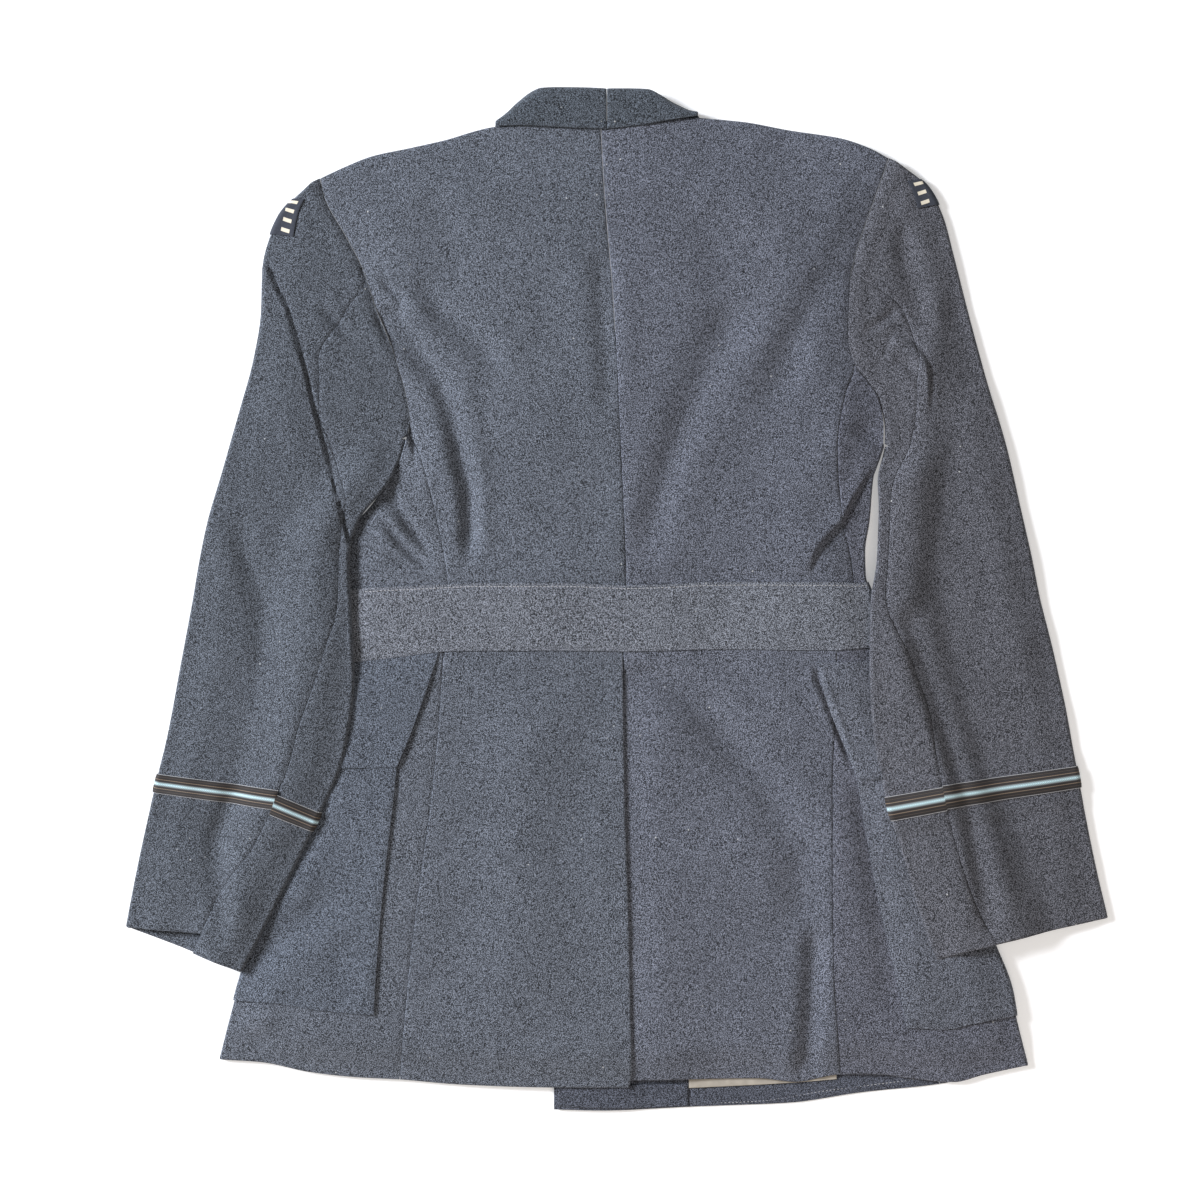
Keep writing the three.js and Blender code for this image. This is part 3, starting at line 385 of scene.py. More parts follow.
def front_right_height(x, y):
    """The right front lies over the left one near the middle."""
    lap = 1 - ease((x - LAP_FROM) / (LAP_TO - LAP_FROM))
    return lift(x, y) + FRONT_LAP * ease((LAP_HEAD - y) / LAP_SLOPE) * lap


def hem_wave(x, y):
    """The front hem is pressed thin and waves a little where it shows."""
    return 0.25 * (1 + uneven(x, y, 55, 3)) * ease((-350 - y) / 25)


def flat_grid(plan, rows, columns, height, face):
    """Points and outward directions of a flat panel, inset by half a seam at both sides."""
    v = np.asarray(rows)[:, None]
    width = np.linalg.norm(plan(1.0, v) - plan(0.0, v), axis=-1)
    inset = SEAM / 2 / width
    u = inset + (1 - 2 * inset) * np.asarray(columns)[None, :]
    xy = plan(u, v)
    points = np.dstack([xy, height(xy[..., 0], xy[..., 1])])
    return points, np.broadcast_to([0.0, 0.0, float(face)], points.shape)


# The fronts' shade of the one barathea: the cloth's own colour with painted light and shade, set piece by
# piece
front_wool = barathea("barathea front", "3d4048")
FRONT_PLAN = {}
for side in ("left", "right"):
    shoulder = ACROSS["shoulder_" + side]
    point = shoulder[0][0] if side == "left" else shoulder[-1][0]
    plan = patch(
        runs_across(shoulder, point, DOWN["edge_" + side][0][1]),
        runs_across(ACROSS["front_hem_" + side], DOWN["under_" + side][-1][1], DOWN["edge_" + side][-1][1]),
        runs_down(past_arm("under", side), LEVELS["under_" + side]),
        runs_down(DOWN["edge_" + side], LEVELS["edge_" + side]),
    )
    FRONT_PLAN[side] = plan
    height = lift if side == "left" else front_right_height
    rows = np.concatenate([steps([0, BELT_TOP, BELT_FOOT, 0.9], 0.012)[:-2], steps([0.9, 1], 0.004)])
    points, out = flat_grid(plan, rows, steps([0, 1], 0.02), height, -1)
    points[..., 2] += hem_wave(points[..., 0], points[..., 1])
    front = shell("front-" + side, points, out, 0, -CLOTH, front_wool)
    laid("front_" + side)


# Lapels: the fronts' turned-out revers, pressed flat under the fronts. Hidden from above.
LAPEL_THICK = 1.9
LAPEL_FOOT, LAPEL_NOTCH, LAPEL_HEAD = 182, 284, 296
# Height, outer edge, roll line
for side, line in {
    "left": [(LAPEL_HEAD, -134, -64), (266, -141, -56), (220, -106, -44), (LAPEL_FOOT, -64, -32)],
    "right": [(LAPEL_HEAD, 116, 34), (266, 122, 24), (220, 82, 4), (LAPEL_FOOT, 34, -10)],
}.items():
    y = np.linspace(LAPEL_FOOT, LAPEL_HEAD, 24)[:, None]
    u = np.linspace(0, 1, 20)[None, :]
    x = (1 - u) * through(line)(y) + u * through(line, 2)(y)
    notch = (1 - u) * (LAPEL_NOTCH - LAPEL_HEAD) * ease((y - LAPEL_NOTCH) / (LAPEL_HEAD - LAPEL_NOTCH))
    points = np.dstack([x, y + notch, 0 * x])
    lapel = shell("lapel-" + side, points, np.broadcast_to([0.0, 0, -1], points.shape),
                  0, -LAPEL_THICK, front_wool)
    laid("lapel_" + side)


# Buttons: four domed brass buttons down the closed front, lying on the table under the left front.
# Buckle: the belt's flat brass frame, between the belt's ends and the table.
brass, tree, shader = surface("brass", 0.3)
shader.inputs["Metallic"].default_value = 1.0
# Brass handled for years: a warm polish with duller, browner patches
TARNISH = 160          # patches in a metre, 6 mm apart
place = add(tree, "TexCoord").outputs["Object"]
tarnish = add(tree, "TexNoise", {"Vector": place, "Scale": TARNISH, "Detail": 4})
ramp = add(tree, "ValToRGB", {"Fac": tarnish.outputs["Fac"]})
ramp.color_ramp.elements[0].color = linear("8a6a35")
ramp.color_ramp.elements[1].color = linear("d9b871")
tree.links.new(ramp.outputs["Color"], shader.inputs["Base Color"])
tree.links.new(add(tree, "MapRange", {"Value": tarnish.outputs["Fac"], 3: 0.22, 4: 0.5}).outputs[0],
               shader.inputs["Roughness"])
BELT_EDGE = -26        # where the belt's two ends meet, under the buckle
BUTTON_HEIGHTS = [92, 64, 36, -78]
# From the middle of the dome to the middle of the back: radius, height over the table
BUTTON = [(0, 0), (4, 0.1), (7.5, 0.5), (9.4, 1.1), (10, 1.6), (9.6, 2.1), (8, 2.3), (0, 2.3)]
ROUND = 48             # points round a button
turns = np.linspace(0, 2 * math.pi, ROUND + 1)[:-1]
for k, y in enumerate(BUTTON_HEIGHTS, 1):
    ring = [(BELT_EDGE + r * math.cos(a), y + r * math.sin(a), z) for r, z in BUTTON[1:-1] for a in turns]
    verts = [(BELT_EDGE, y, 0)] + ring + [(BELT_EDGE, y, BUTTON[-1][1])]
    faces = [(0, 1 + (j + 1) % ROUND, 1 + j) for j in range(ROUND)]
    last = len(verts) - 1
    faces += [(last, last - ROUND + j, last - ROUND + (j + 1) % ROUND) for j in range(ROUND)]
    for i in range(len(BUTTON) - 3):
        low = 1 + ROUND * i
        high = low + ROUND
        faces += [(low + j, low + (j + 1) % ROUND, high + (j + 1) % ROUND, high + j) for j in range(ROUND)]
    mesh = bpy.data.meshes.new(f"button-{k}")
    mesh.from_pydata([tuple(c / 1000 for c in p) for p in verts], [], faces)
    mesh.polygons.foreach_set("use_smooth", [True] * len(mesh.polygons))
    mesh.materials.append(brass)
    button = bpy.data.objects.new(f"button-{k}", mesh)
    bpy.context.collection.objects.link(button)
    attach(button, "root")
    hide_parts(f"button_{k}")

BUCKLE = {"width": 46, "height": 60, "bar": 7, "thick": 0.9, "middle": -15, "corner": 4}
rings = []
for inset in (0, BUCKLE["bar"]):
    half_x, half_y = BUCKLE["width"] / 2 - inset, BUCKLE["height"] / 2 - inset
    corner = BUCKLE["corner"] - inset * 0.4
    ring = []
    for sx, sy, turn in ((1, 1, 0), (-1, 1, 90), (-1, -1, 180), (1, -1, 270)):
        for step in range(7):
            a = math.radians(turn + 15 * step)
            ring.append((BELT_EDGE + sx * (half_x - corner) + corner * math.cos(a),
                         BUCKLE["middle"] + sy * (half_y - corner) + corner * math.sin(a)))
    rings.append(ring + ring[:1])
rings = np.array(rings)
points = np.dstack([rings, np.zeros(rings.shape[:2])])
buckle = shell("belt-buckle", points, np.broadcast_to([0.0, 0, 1], points.shape), BUCKLE["thick"], 0, brass)
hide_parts("buckle")


# Facing and lining: inside the right front, a cloth facing down its edge and beige lining above the
# turned-up hem. Slivers of both show below the back's hem.
lining, tree, shader = surface("lining", 0.55)
# Twilled rayon, faded beige, with a slight sheen. Its colour runs with the crumples' bump, darker in their
# hollows and lighter on their tops: painted shade and light
CRUMPLE = 110          # crumples in a metre, 9 mm apart
place = add(tree, "TexCoord").outputs["Object"]
crumple = add(tree, "TexNoise", {"Vector": place, "Scale": CRUMPLE, "Detail": 4})
# Painted shade and light: the crumples' hollows are coloured darker and their tops lighter
ramp = add(tree, "ValToRGB", {"Fac": crumple.outputs["Fac"]})
ramp.color_ramp.elements[0].color = linear("7d766c")
ramp.color_ramp.elements[1].color = linear("c4bcae")
tree.links.new(ramp.outputs["Color"], shader.inputs["Base Color"])
bump = add(tree, "Bump", {"Height": crumple.outputs["Fac"], "Strength": 0.5, "Distance": 0.0012})
tree.links.new(bump.outputs[0], shader.inputs["Normal"])
# Wall, and its edges: across, lower edge, upper edge
INSIDE = {
    "facing_right": (0.9, [(-48, -401, -385), (-30, -402, -385), (0, -403, -385), (25, -402.5, -384),
                           (56, -401, -384)]),
    "lining_right": (0.8, [(57, -387, -375), (90, -385.5, -375), (120, -384, -375), (150, -382, -375),
                           (174, -380, -374)]),
}
for node, (wall, line) in INSIDE.items():
    x = np.linspace(line[0][0], line[-1][0], 90)[:, None]
    t = steps([0, 1], 0.08)[None, :]
    y = (1 - t) * through(line)(x) + t * through(line, 2)(x)
    x = x + 0 * t
    z = front_right_height(x, y) + CLOTH + 1.5 * SEAM + hem_wave(x, y)
    points = np.dstack([x, y, z])
    material, slot = (front_wool, "barathea") if node == "facing_right" else (lining, "lining")
    out = np.broadcast_to([0.0, 0, 1], points.shape)
    piece = shell(node.replace("_", "-"), points, out, wall, 0, material)
    laid(node)


# Backs: two panels of barathea joined down the middle, open below the belt at the centre vent, where
# the left skirt laps over the right one. The cloth lies in soft creases from the armholes and waist.
BODY = 5.0             # from the fronts' outer face to the back's, at the sides
BACK_LAP = 2.2         # the back lies this much higher over the lapped fronts
LAP_MIDDLE, LAP_HALF, LAP_FADE = -22, 45, 70
FINE = 2.6 / BACK_LONG                       # rows 2.6 mm apart
VENT_DIP = 2.1         # the right skirt lies this much lower at the vent
VENT_LAP = 12
VENT_HEAD = -66        # the lap starts below this height
STITCHED = 0.0034      # the belt's stitching lies this far inside its edges, as rows
BELT_ROWS = [BELT_TOP, BELT_TOP + STITCHED, BELT_FOOT - STITCHED, BELT_FOOT]
DEEPEST = 1.9          # a trough deeper than this would reach the layer below
PUFF = 4.2             # the middle of a panel stands this much higher, with air beneath it
LEVELS.update({
    "centre": [(0, 378), (BELT_TOP, 11), (BELT_FOOT, -41), (1, -386)],
    "vent": [(0, 378), (BELT_TOP, 11), (BELT_FOOT, -41), (1, -381)],
    "back_left": [(0, 333), (JOIN["left"], 134), (BELT_TOP, 12), (BELT_FOOT, -41), (1, -380)],
    "back_right": [(0, 349), (JOIN["right"], 186), (BELT_TOP, 13), (BELT_FOOT, -40), (1, -376)],
})
DOWN.update({
    "seam_left": [(134, -165), (117, -157), (79, -146), (47, -139), (12, -134), (-41, -137),
                  (-122, -143), (-174, -149), (-246, -159), (-310, -166), (-380, -172)],
    "seam_right": [(186, 188), (161, 180), (120, 174), (56, 179), (42, 183), (13, 187), (-40, 174),
                   (-100, 172), (-150, 170), (-220, 170), (-289, 171), (-376, 177)],
    "centre": [(378, -13), (322, -10), (237, -3), (119, 3), (12, 7), (-41, 5), (-174, 7), (-250, 9.5),
               (-325, 11), (-371, 12), (-386, 10)],
    "fold_left": [(127, -166.6), (113, -171.5), (100, -177.5), (90, -183), (74, -195), (57, -209),
                  (38, -216), (10, -220), (-40, -226), (-100, -236), (-150, -250), (-200, -266),
                  (-250, -281), (-297, -297), (-326, -305), (-364, -315)],
    "fold_right": [(121, 211.5), (112, 208.5), (104, 205.5), (96, 203), (62, 200), (38, 196.5),
                   (19, 197), (5, 201), (-40, 208), (-100, 226), (-150, 246), (-200, 267), (-250, 288),
                   (-274, 299), (-308, 312), (-330, 316), (-369, 326)],
})
# Path, half width, rise, and how far the rise reaches. Reach 0 is a soft trough or ridge. Above 0 it is
# a step, high on the right hand of someone who walks along it. Below 0 it is a trough with a long slope
# on that hand
BODY_FOLDS = [
    # From the left armhole down to the belt
    ([(-186, 236), (-179, 222), (-165, 205), (-152, 189), (-140, 172), (-134, 154), (-127, 130),
      (-122, 108), (-117, 86), (-116, 62), (-117, 20)], 8, -5.6, 0),
    ([(-190, 262), (-181, 247), (-171, 238), (-170, 215)], 4, -3.2, 0),
    ([(-160, 256), (-137, 225), (-118, 213), (-101, 194), (-86, 168)], 7, -2.8, 0),
    ([(-181, 89), (-174, 76), (-163, 59), (-153, 46), (-142, 24)], 2.4, -5.0, -6),
    ([(-190, 68), (-170, 43), (-157, 32), (-140, 14)], 4, -3.4, 0),
    ([(-168, 148), (-160, 122), (-161, 98)], 2.6, -4.2, 0),
    # Left shoulder, the middle of the back, and from the right armhole down to the belt
    ([(-157, 324), (-115, 280)], 13, -2.4, 0),
    ([(-13, 281), (-5, 138)], 8, -2.4, 0),
    ([(100, 240), (66, 174), (43, 111), (18, 20)], 15, -3.0, 0),
    ([(167, 268), (141, 205), (116, 140)], 12, -3.0, 0),
    ([(212, 118), (203, 103), (195, 93), (186, 78), (178, 61), (168, 51), (160, 42),
      (155, 33), (148, 8)], 1.8, 4.6, 26),
    ([(206, 150), (190, 118), (170, 76), (160, 30)], 12, -2.0, 0),
    # Along the right flap's back edge
    ([(155, -40), (158.5, -62), (173, -100), (189, -142)], 2, -3.4, 0),
    # Right skirt, then the left one, the right shoulder and the left hem
    ([(8, -41), (66, -87), (114, -142), (145, -198), (152, -270)], 16, -3.6, 0),
    ([(157, -255), (154, -320), (149, -398)], 10, -4.6, 0),
    ([(190, -140), (208, -237), (222, -336)], 11, -2.6, 0),
    ([(-60, -70), (-80, -200), (-86, -350)], 28, 1.6, 0),
    ([(60, 330), (120, 300), (160, 290)], 24, 1.8, 0),
    ([(-288, -292), (-250, -255), (-212, -222)], 12, -3.0, 0),
    ([(-300, -356), (-252, -334)], 9, -2.4, 0),
]
shoulder_height = through(ACROSS["shoulder_left"] + ACROSS["shoulder_right"][1:])
centre_across = through(DOWN["centre"])
fold_across = {side: through(DOWN["fold_" + side]) for side in SIGN}
arm_across = {side: through(DOWN["armhole_" + side]) for side in SIGN}


def fold_rise(folds, x, y):
    """Rise of a set of folds: along each path a soft trough or ridge, or a step high on its right."""
    rise = 0
    for path, width, height, reach in folds:
        nearest = np.full(np.shape(x), np.inf)
        along = np.zeros(np.shape(x))
        side = np.ones(np.shape(x))
        length = 0
        for (ax, ay), (bx, by) in zip(path, path[1:]):
            span = math.hypot(bx - ax, by - ay)
            t = np.clip(((x - ax) * (bx - ax) + (y - ay) * (by - ay)) / span**2, 0, 1)
            away = np.hypot(x - ax - t * (bx - ax), y - ay - t * (by - ay))
            closer = away < nearest
            nearest = np.where(closer, away, nearest)
            along = np.where(closer, length + t * span, along)
            side = np.where(closer, np.sign((x - ax) * (by - ay) - (y - ay) * (bx - ax)), side)
            length += span
        ends = ease((along + 0.5) / (4 if reach else 22)) * ease((length - along) / 34)
        # The width and depth wander along a crease, as they do in cloth
        width = width * (1 + 0.2 * np.sin(along / 70 + width))
        if reach < 0:
            # Folded over: a slope down on the right hand and a steep wall on the left
            shape = np.exp(-((nearest / np.where(side > 0, -reach, width)) ** 2))
        elif reach:
            shape = ease(0.5 + side * nearest / width / 2) * np.exp(-nearest / reach)
            shape = shape - 0.25 * np.exp(-(((side * nearest + width) / width) ** 2))
        else:
            # The cloth that a trough takes up stands as a low ridge along each side of it
            shape = np.exp(-((nearest / width) ** 2))
            shape = shape - 0.22 * np.exp(-(((nearest - 2 * width) / width) ** 2))
        rise = rise + height * shape * ends * (1 + 0.12 * np.sin(along / 55 + 2 * width))
    return rise


def over_lap(x):
    """How much higher the back lies over the lapped fronts."""
    return BACK_LAP * (1 - ease((np.abs(x - LAP_MIDDLE) - LAP_HALF) / LAP_FADE))


def back_height(x, y):
    """Height of the back's outer face: full in the middle of a panel, calm under the belt."""
    in_collar = ease((x + 112) / 15) * ease((74 - x) / 15)
    edge = np.clip((shoulder_height(x) - y) / 12, 0, 1)
    drop = 1.7 * (1 - np.sqrt(1 - (1 - edge) ** 2)) * (1 - in_collar)
    calm = 1 - ease((y + 62) / 15) * ease((30 - y) / 15)
    at_hem = ease((y - hem_height(x)) / 30)
    waves = 0.7 * uneven(x, y, 80, 1) + 0.25 * uneven(x, y, 32, 4)
    inside = np.minimum(
        np.where(y > 121, arm_across["right"](y), fold_across["right"](y)) - x,
        x - np.where(y > 127, arm_across["left"](y), fold_across["left"](y)))
    puff = PUFF * ease(inside / 34) * ease((shoulder_height(x) - y - 10) / 50) * at_hem
    folds = np.maximum(fold_rise(BODY_FOLDS, x, y) + waves, -DEEPEST - puff) * (0.15 + 0.85 * calm)
    folds = folds * (0.5 + 0.5 * at_hem)
    sides = np.where(y < 121, 0.2 + 0.8 * ease(inside / 16), 1)
    return lift(x, y) + BODY + over_lap(x) + puff + folds * sides - drop


def back_right_height(x, y):
    """The right skirt dips under the left one along the vent."""
    dip = ease((-41 - y) / 25) * (1 - ease((x - centre_across(y)) / 30))
    return back_height(x, y) - VENT_DIP * dip


def seam_dip(points, sides, depth=0.45, reach=2.6):
    """How far the cloth is drawn down beside its sewn edges, a little more between stitches."""
    dip = 0
    step = np.linalg.norm(np.diff(points, axis=1), axis=-1)
    near = np.concatenate([np.zeros((len(points), 1)), np.cumsum(step, 1)], 1)
    far = near[:, -1:] - near
    pull = 1 + 0.35 * uneven(points[..., 0], points[..., 1], 16, 2)
    for name, away in (("first", near), ("last", far)):
        if name in sides:
            dip = dip + np.exp(-((away / reach) ** 2))
    return -depth * pull * dip


vent = runs_down(DOWN["centre"], LEVELS["vent"])


def lapped(t):
    """The right skirt's edge, under the left skirt."""
    xy = vent(t)
    return xy - np.stack([VENT_LAP * ease((VENT_HEAD - xy[..., 1]) / 25), 0 * xy[..., 1]], -1)


# Each back panel's shade of the one barathea: the cloth's own colour with painted light and shade, set panel
# by panel
BACK_TINT_AND_SHADE = {"left": "4a4e55", "right": "4c4f57"}
BACK_PLAN = {}
for side in ("left", "right"):
    rows = steps([0, 0.018, JOIN[side], *BELT_ROWS, 1], FINE)
    shoulder = ACROSS["shoulder_" + side]
    point = shoulder[0][0] if side == "left" else shoulder[-1][0]
    neck, hem_end = DOWN["centre"][0][1], DOWN["centre"][-1][1]
    if side == "left":
        centre = runs_down(DOWN["centre"], LEVELS["centre"])
    else:
        centre = lapped
        hem_end = hem_end - VENT_LAP
    plan = patch(
        runs_across(shoulder, point, neck),
        runs_across(ACROSS["hem_" + side], DOWN["seam_" + side][-1][1], hem_end),
        runs_down(past_arm("seam", side), LEVELS["back_" + side]),
        centre,
    )
    height = back_height if side == "left" else back_right_height
    points, out = flat_grid(plan, rows, steps([0, 1], 0.0135), height, 1)
    BACK_PLAN[side] = (rows, points, out)
    # Deep where the sleeve is set in, slight down the side-back seam, plain below the belt
    deep = np.interp(rows, [0, JOIN[side], JOIN[side] + 0.01, 1], [0.8, 0.95, 0.2, 0.2])[:, None]
    sewn = deep * seam_dip(points, ["first"], 1.0, 3.0)
    sewn = sewn + np.where(rows[:, None] > BELT_FOOT, 0, seam_dip(points, ["last"]))
    wool = barathea("barathea back_" + side, BACK_TINT_AND_SHADE[side])
    back = shell("back-" + side, points, out, sewn, -CLOTH, wool)
    laid("back_" + side)


# Side bodies: a panel each side from the side-back seam round the fold to the front. The fold is the
# garment's outer edge as it lies; the cloth is turned, not pressed, so it stays round.
LEVELS.update({
    "fold_left": [(JOIN["left"], 127), (BELT_TOP, 8), (BELT_FOOT, -52), (1, -364)],
    "fold_right": [(JOIN["right"], 121), (BELT_TOP, 14), (BELT_FOOT, -37), (1, -369)],
})
POCKET_TOP = 0.62
FLAP_FOOT = {"left": 0.664, "right": 0.683}
POCKET_FOOT = {"left": 0.931, "right": 0.945}
# Where the pocket and flap begin, as a share of the way from the seam to the fold: row, share
POCKET_EDGE = {
    "left": [(JOIN["left"], 0.3), (BELT_TOP, 0.2), (BELT_FOOT, 0.04), (FLAP_FOOT["left"], 0.3),
             (0.8, 0.24), (POCKET_FOOT["left"], 0.18), (1, 0.18)],
    "right": [(JOIN["right"], 0.3), (BELT_TOP, 0.25), (BELT_FOOT, 0.12), (FLAP_FOOT["right"], 0.28),
              (0.8, 0.33), (POCKET_FOOT["right"], 0.39), (1, 0.39)],
}
# Each side body's shade of the one barathea: the cloth's own colour with painted light and shade, set panel
# by panel
SIDE_TINT_AND_SHADE = {"left": "4b4f56", "right": "4a4c54"}
TO_POCKET = 10         # columns from the seam to the pocket's edge
SHORTEST = 6           # a row no longer than this still keeps clear of the seam
TURN = 8               # steps round a folded edge


def turned_row(edge, inward, top_part, under_part, top_height, under_height):
    """One row of points that comes in above, turns round a folded edge and goes back below."""
    probe = edge + inward * 3
    high, low = float(top_height(*probe)), float(under_height(*probe))
    radius = (high - low) / 2
    root = edge + inward * radius
    top, under = top_part(root), under_part(root)
    z = top_height(top[:, 0], top[:, 1])
    z[-1] = high
    angle = math.pi / 2 - math.pi * np.arange(1, TURN) / TURN
    out = np.stack([-inward[0] * np.cos(angle), -inward[1] * np.cos(angle), np.sin(angle)], -1)
    bend = np.array([root[0], root[1], (high + low) / 2]) + out * radius
    below = under_height(under[:, 0], under[:, 1]) + 0 * under[:, 0]
    below[0] = low
    points = np.concatenate([np.column_stack([top, z]), bend, np.column_stack([under, below])])
    ways = np.concatenate([np.tile([0.0, 0, 1], (len(top), 1)), out, np.tile([0.0, 0, -1], (len(under), 1))])
    return points, ways


SIDE_GRID = {}
for side, sign in SIGN.items():
    low_arm = DOWN["seam_" + side][0][0]
    foot_arm = LEVELS["fold_" + side][0][1]
    arm_ends = np.array([[float(arm_across[side](h)), h] for h in (foot_arm, low_arm)])
    seam_line = runs_down(past_arm("seam", side), LEVELS["back_" + side], JOIN[side])
    fold_line = runs_down(DOWN["fold_" + side], LEVELS["fold_" + side], JOIN[side])
    under_line = runs_down(past_arm("under", side), LEVELS["under_" + side], JOIN[side])
    hems = {"top": (DOWN["seam_" + side][-1][1], through(ACROSS["hem_" + side])),
            "under": (DOWN["under_" + side][-1][1], through(ACROSS["front_hem_" + side]))}
    fold_end = DOWN["fold_" + side][-1][1]
    share_rows, shares = zip(*POCKET_EDGE[side])
    rows = steps([JOIN[side], *BELT_ROWS, POCKET_TOP, FLAP_FOOT[side], POCKET_FOOT[side], 1], FINE)
    made = []
    for v in rows:
        t = (v - JOIN[side]) / (1 - JOIN[side])
        edge, seam = fold_line(t), seam_line(t)
        turn = math.atan2(seam[1] - edge[1], abs(seam[0] - edge[0]))
        inward = np.array([-sign * math.cos(turn), math.sin(turn)])

        def pull(target, hem, s, root):
            """Points from beside the fold to a seam, bowed to the armhole and the hem at the ends."""
            q = (s * (1 - SEAM / 2 / max(SHORTEST, np.linalg.norm(target - root))))[:, None]
            xy = root + q * (target - root)
            y = foot_arm + (low_arm - foot_arm) * q[:, 0]
            on_arm = np.stack([arm_across[side](y), y], -1)
            bow = (1 - t) ** 6 * (on_arm - arm_ends[0] - q * (arm_ends[1] - arm_ends[0]))
            end, line = hem
            x = fold_end + (end - fold_end) * q[:, 0]
            sag = line(x) - (line(fold_end) + (line(end) - line(fold_end)) * q[:, 0])
            return xy + bow + t**4 * np.stack([0 * sag, sag], -1)
        first = 1 - np.interp(v, share_rows, shares)
        top_s = np.concatenate([np.linspace(1, first, TO_POCKET + 1), np.linspace(first, 0, 27)[1:]])
        made.append(turned_row(
            edge, inward,
            lambda root: pull(seam, hems["top"], top_s, root),
            lambda root: pull(under_line(t), hems["under"], np.linspace(0, 1, 14), root),
            back_height, lift))
    points, out = (np.stack(part) for part in zip(*made))
    SIDE_GRID[side] = (rows, points, out)
    wool = barathea("barathea side_" + side, SIDE_TINT_AND_SHADE[side])
    side_body = shell("side-" + side, points, out, seam_dip(points, ["first"], 0.2), -CLOTH, wool)
    laid("side_" + side)


# Lower pockets: large patch pockets of the same cloth, sewn on over the side body and the front, so
# each wraps round the fold. Their flaps hang from the belt's seam and cover the pocket's mouth.
POCKET_WALL = 1.1
FLAP_WALL = 1.0
# Each pocket's shade of the one barathea: the cloth's own colour with painted light and shade, set piece by
# piece
POCKET_TINT_AND_SHADE = {"left": "484d55", "right": "4b4e55"}
FLAP_HEAD = {"left": BELT_FOOT, "right": BELT_FOOT + 0.012}
# The right flap's back edge slants over the side-back seam and on to the back: height, across
FLAP_EDGE = [(-145, 191), (-64, 161), (-40, 157)]
FLAP_JOIN = 8          # the column of the side body where the slanted part joins on
for side in SIGN:
    rows, points, out = SIDE_GRID[side]

    def around(start, end):
        """Side body and front between two rows, from the pocket's edge to half way over the front."""
        kept = (rows >= start - 1e-9) & (rows <= end + 1e-9)
        front = FRONT_PLAN[side](np.linspace(0.03, 0.5, 14)[None, :], rows[kept][:, None])
        below = np.dstack([front, lift(front[..., 0], front[..., 1])])
        return (rows[kept], np.concatenate([points[kept][:, TO_POCKET:-1], below], 1),
                np.concatenate([out[kept][:, TO_POCKET:-1], np.broadcast_to([0.0, 0, -1], below.shape)], 1))
    _, seats, ways = around(POCKET_TOP, POCKET_FOOT[side])
    # A full pocket stands off the skirt a little in the middle and is drawn down at its edges
    bag = 0.35 * (1 + uneven(seats[..., 0], seats[..., 1], 60, 5)) * np.clip(ways[..., 2], 0, 1)
    bag = bag + 0.9 * np.exp(-((np.arange(seats.shape[1]) / 5.0) ** 2)) * np.clip(ways[..., 2], 0, 1)
    wool = barathea("barathea pocket_" + side, POCKET_TINT_AND_SHADE[side])
    pocket = shell("pocket-" + side, seats, ways, SEAM + POCKET_WALL + bag, SEAM, wool)
    laid("pocket_" + side)
    kept, seats, ways = around(FLAP_HEAD[side], FLAP_FOOT[side])
    if side == "right":
        edge = np.stack([through(FLAP_EDGE)(seats[:, 0, 1]), seats[:, 0, 1]], -1)[:, None]
        reach = np.linspace(0, 1, 18)[None, :-1, None]
        xy = edge + (seats[:, FLAP_JOIN:FLAP_JOIN + 1, :2] - edge) * reach
        over_seam = np.dstack([xy, back_height(xy[..., 0], xy[..., 1])])
        seats = np.concatenate([over_seam, seats[:, FLAP_JOIN:]], 1)
        ways = np.concatenate([np.broadcast_to([0.0, 0, 1], over_seam.shape), ways[:, FLAP_JOIN:]], 1)
    seats[0] += (seats[1] - seats[0]) * min(1, SEAM / np.linalg.norm(seats[1, -1] - seats[0, -1]))
    over = ease((kept - FLAP_HEAD[side]) / (POCKET_TOP - FLAP_HEAD[side]) * 2)[:, None]
    rise = SEAM + (SEAM + POCKET_WALL) * over
    lean = 0.8 * over * ease((kept - POCKET_TOP) / 0.05)[:, None] * np.clip(ways[..., 2], 0, 1)
    lean = lean * (1 + uneven(seats[..., 0], seats[..., 1], 40, 6)) / 2
    flap = shell("flap-" + side, seats, ways, rise + FLAP_WALL + lean, rise + lean, wool)
    laid("flap_" + side)


# Belt: a strip of barathea about 52 mm wide round the waist, lined with itself and stitched along its
# edges, with the skirt's seam under its lower one. Its ends meet at the buckle in front.
BELT_WALL = 1.2


def belt_half(side):
    """Points of half the belt: from the middle of the front, round the fold, to the middle of the back."""
    rows, points, out = SIDE_GRID[side]
    at = np.where((rows >= BELT_TOP - 1e-9) & (rows <= BELT_FOOT + 1e-9))[0]
    back_rows, back_points, back_out = BACK_PLAN[side]
    on_back = [int(np.argmin(np.abs(back_rows - v))) for v in rows[at]]
    y = points[at, -1, 1][:, None]
    start = BELT_EDGE + (1 if side == "right" else -1)
    x = start + (points[at, -1, 0][:, None] - start) * np.linspace(0, 0.98, 40)[None, :]
    strip = np.dstack([x, y + 0 * x, lift(x, y + 0 * x)])
    strip_out = np.broadcast_to([0.0, 0, -1], strip.shape)
    whole = np.concatenate([strip, points[at][:, ::-1], back_points[on_back][:, 1:-1]], 1)
    return whole, np.concatenate([strip_out, out[at][:, ::-1], back_out[on_back][:, 1:-1]], 1)


halves = {side: belt_half(side) for side in SIGN}
points = np.concatenate([halves["left"][0], halves["right"][0][:, ::-1]], 1)
out = np.concatenate([halves["left"][1], halves["right"][1][:, ::-1]], 1)
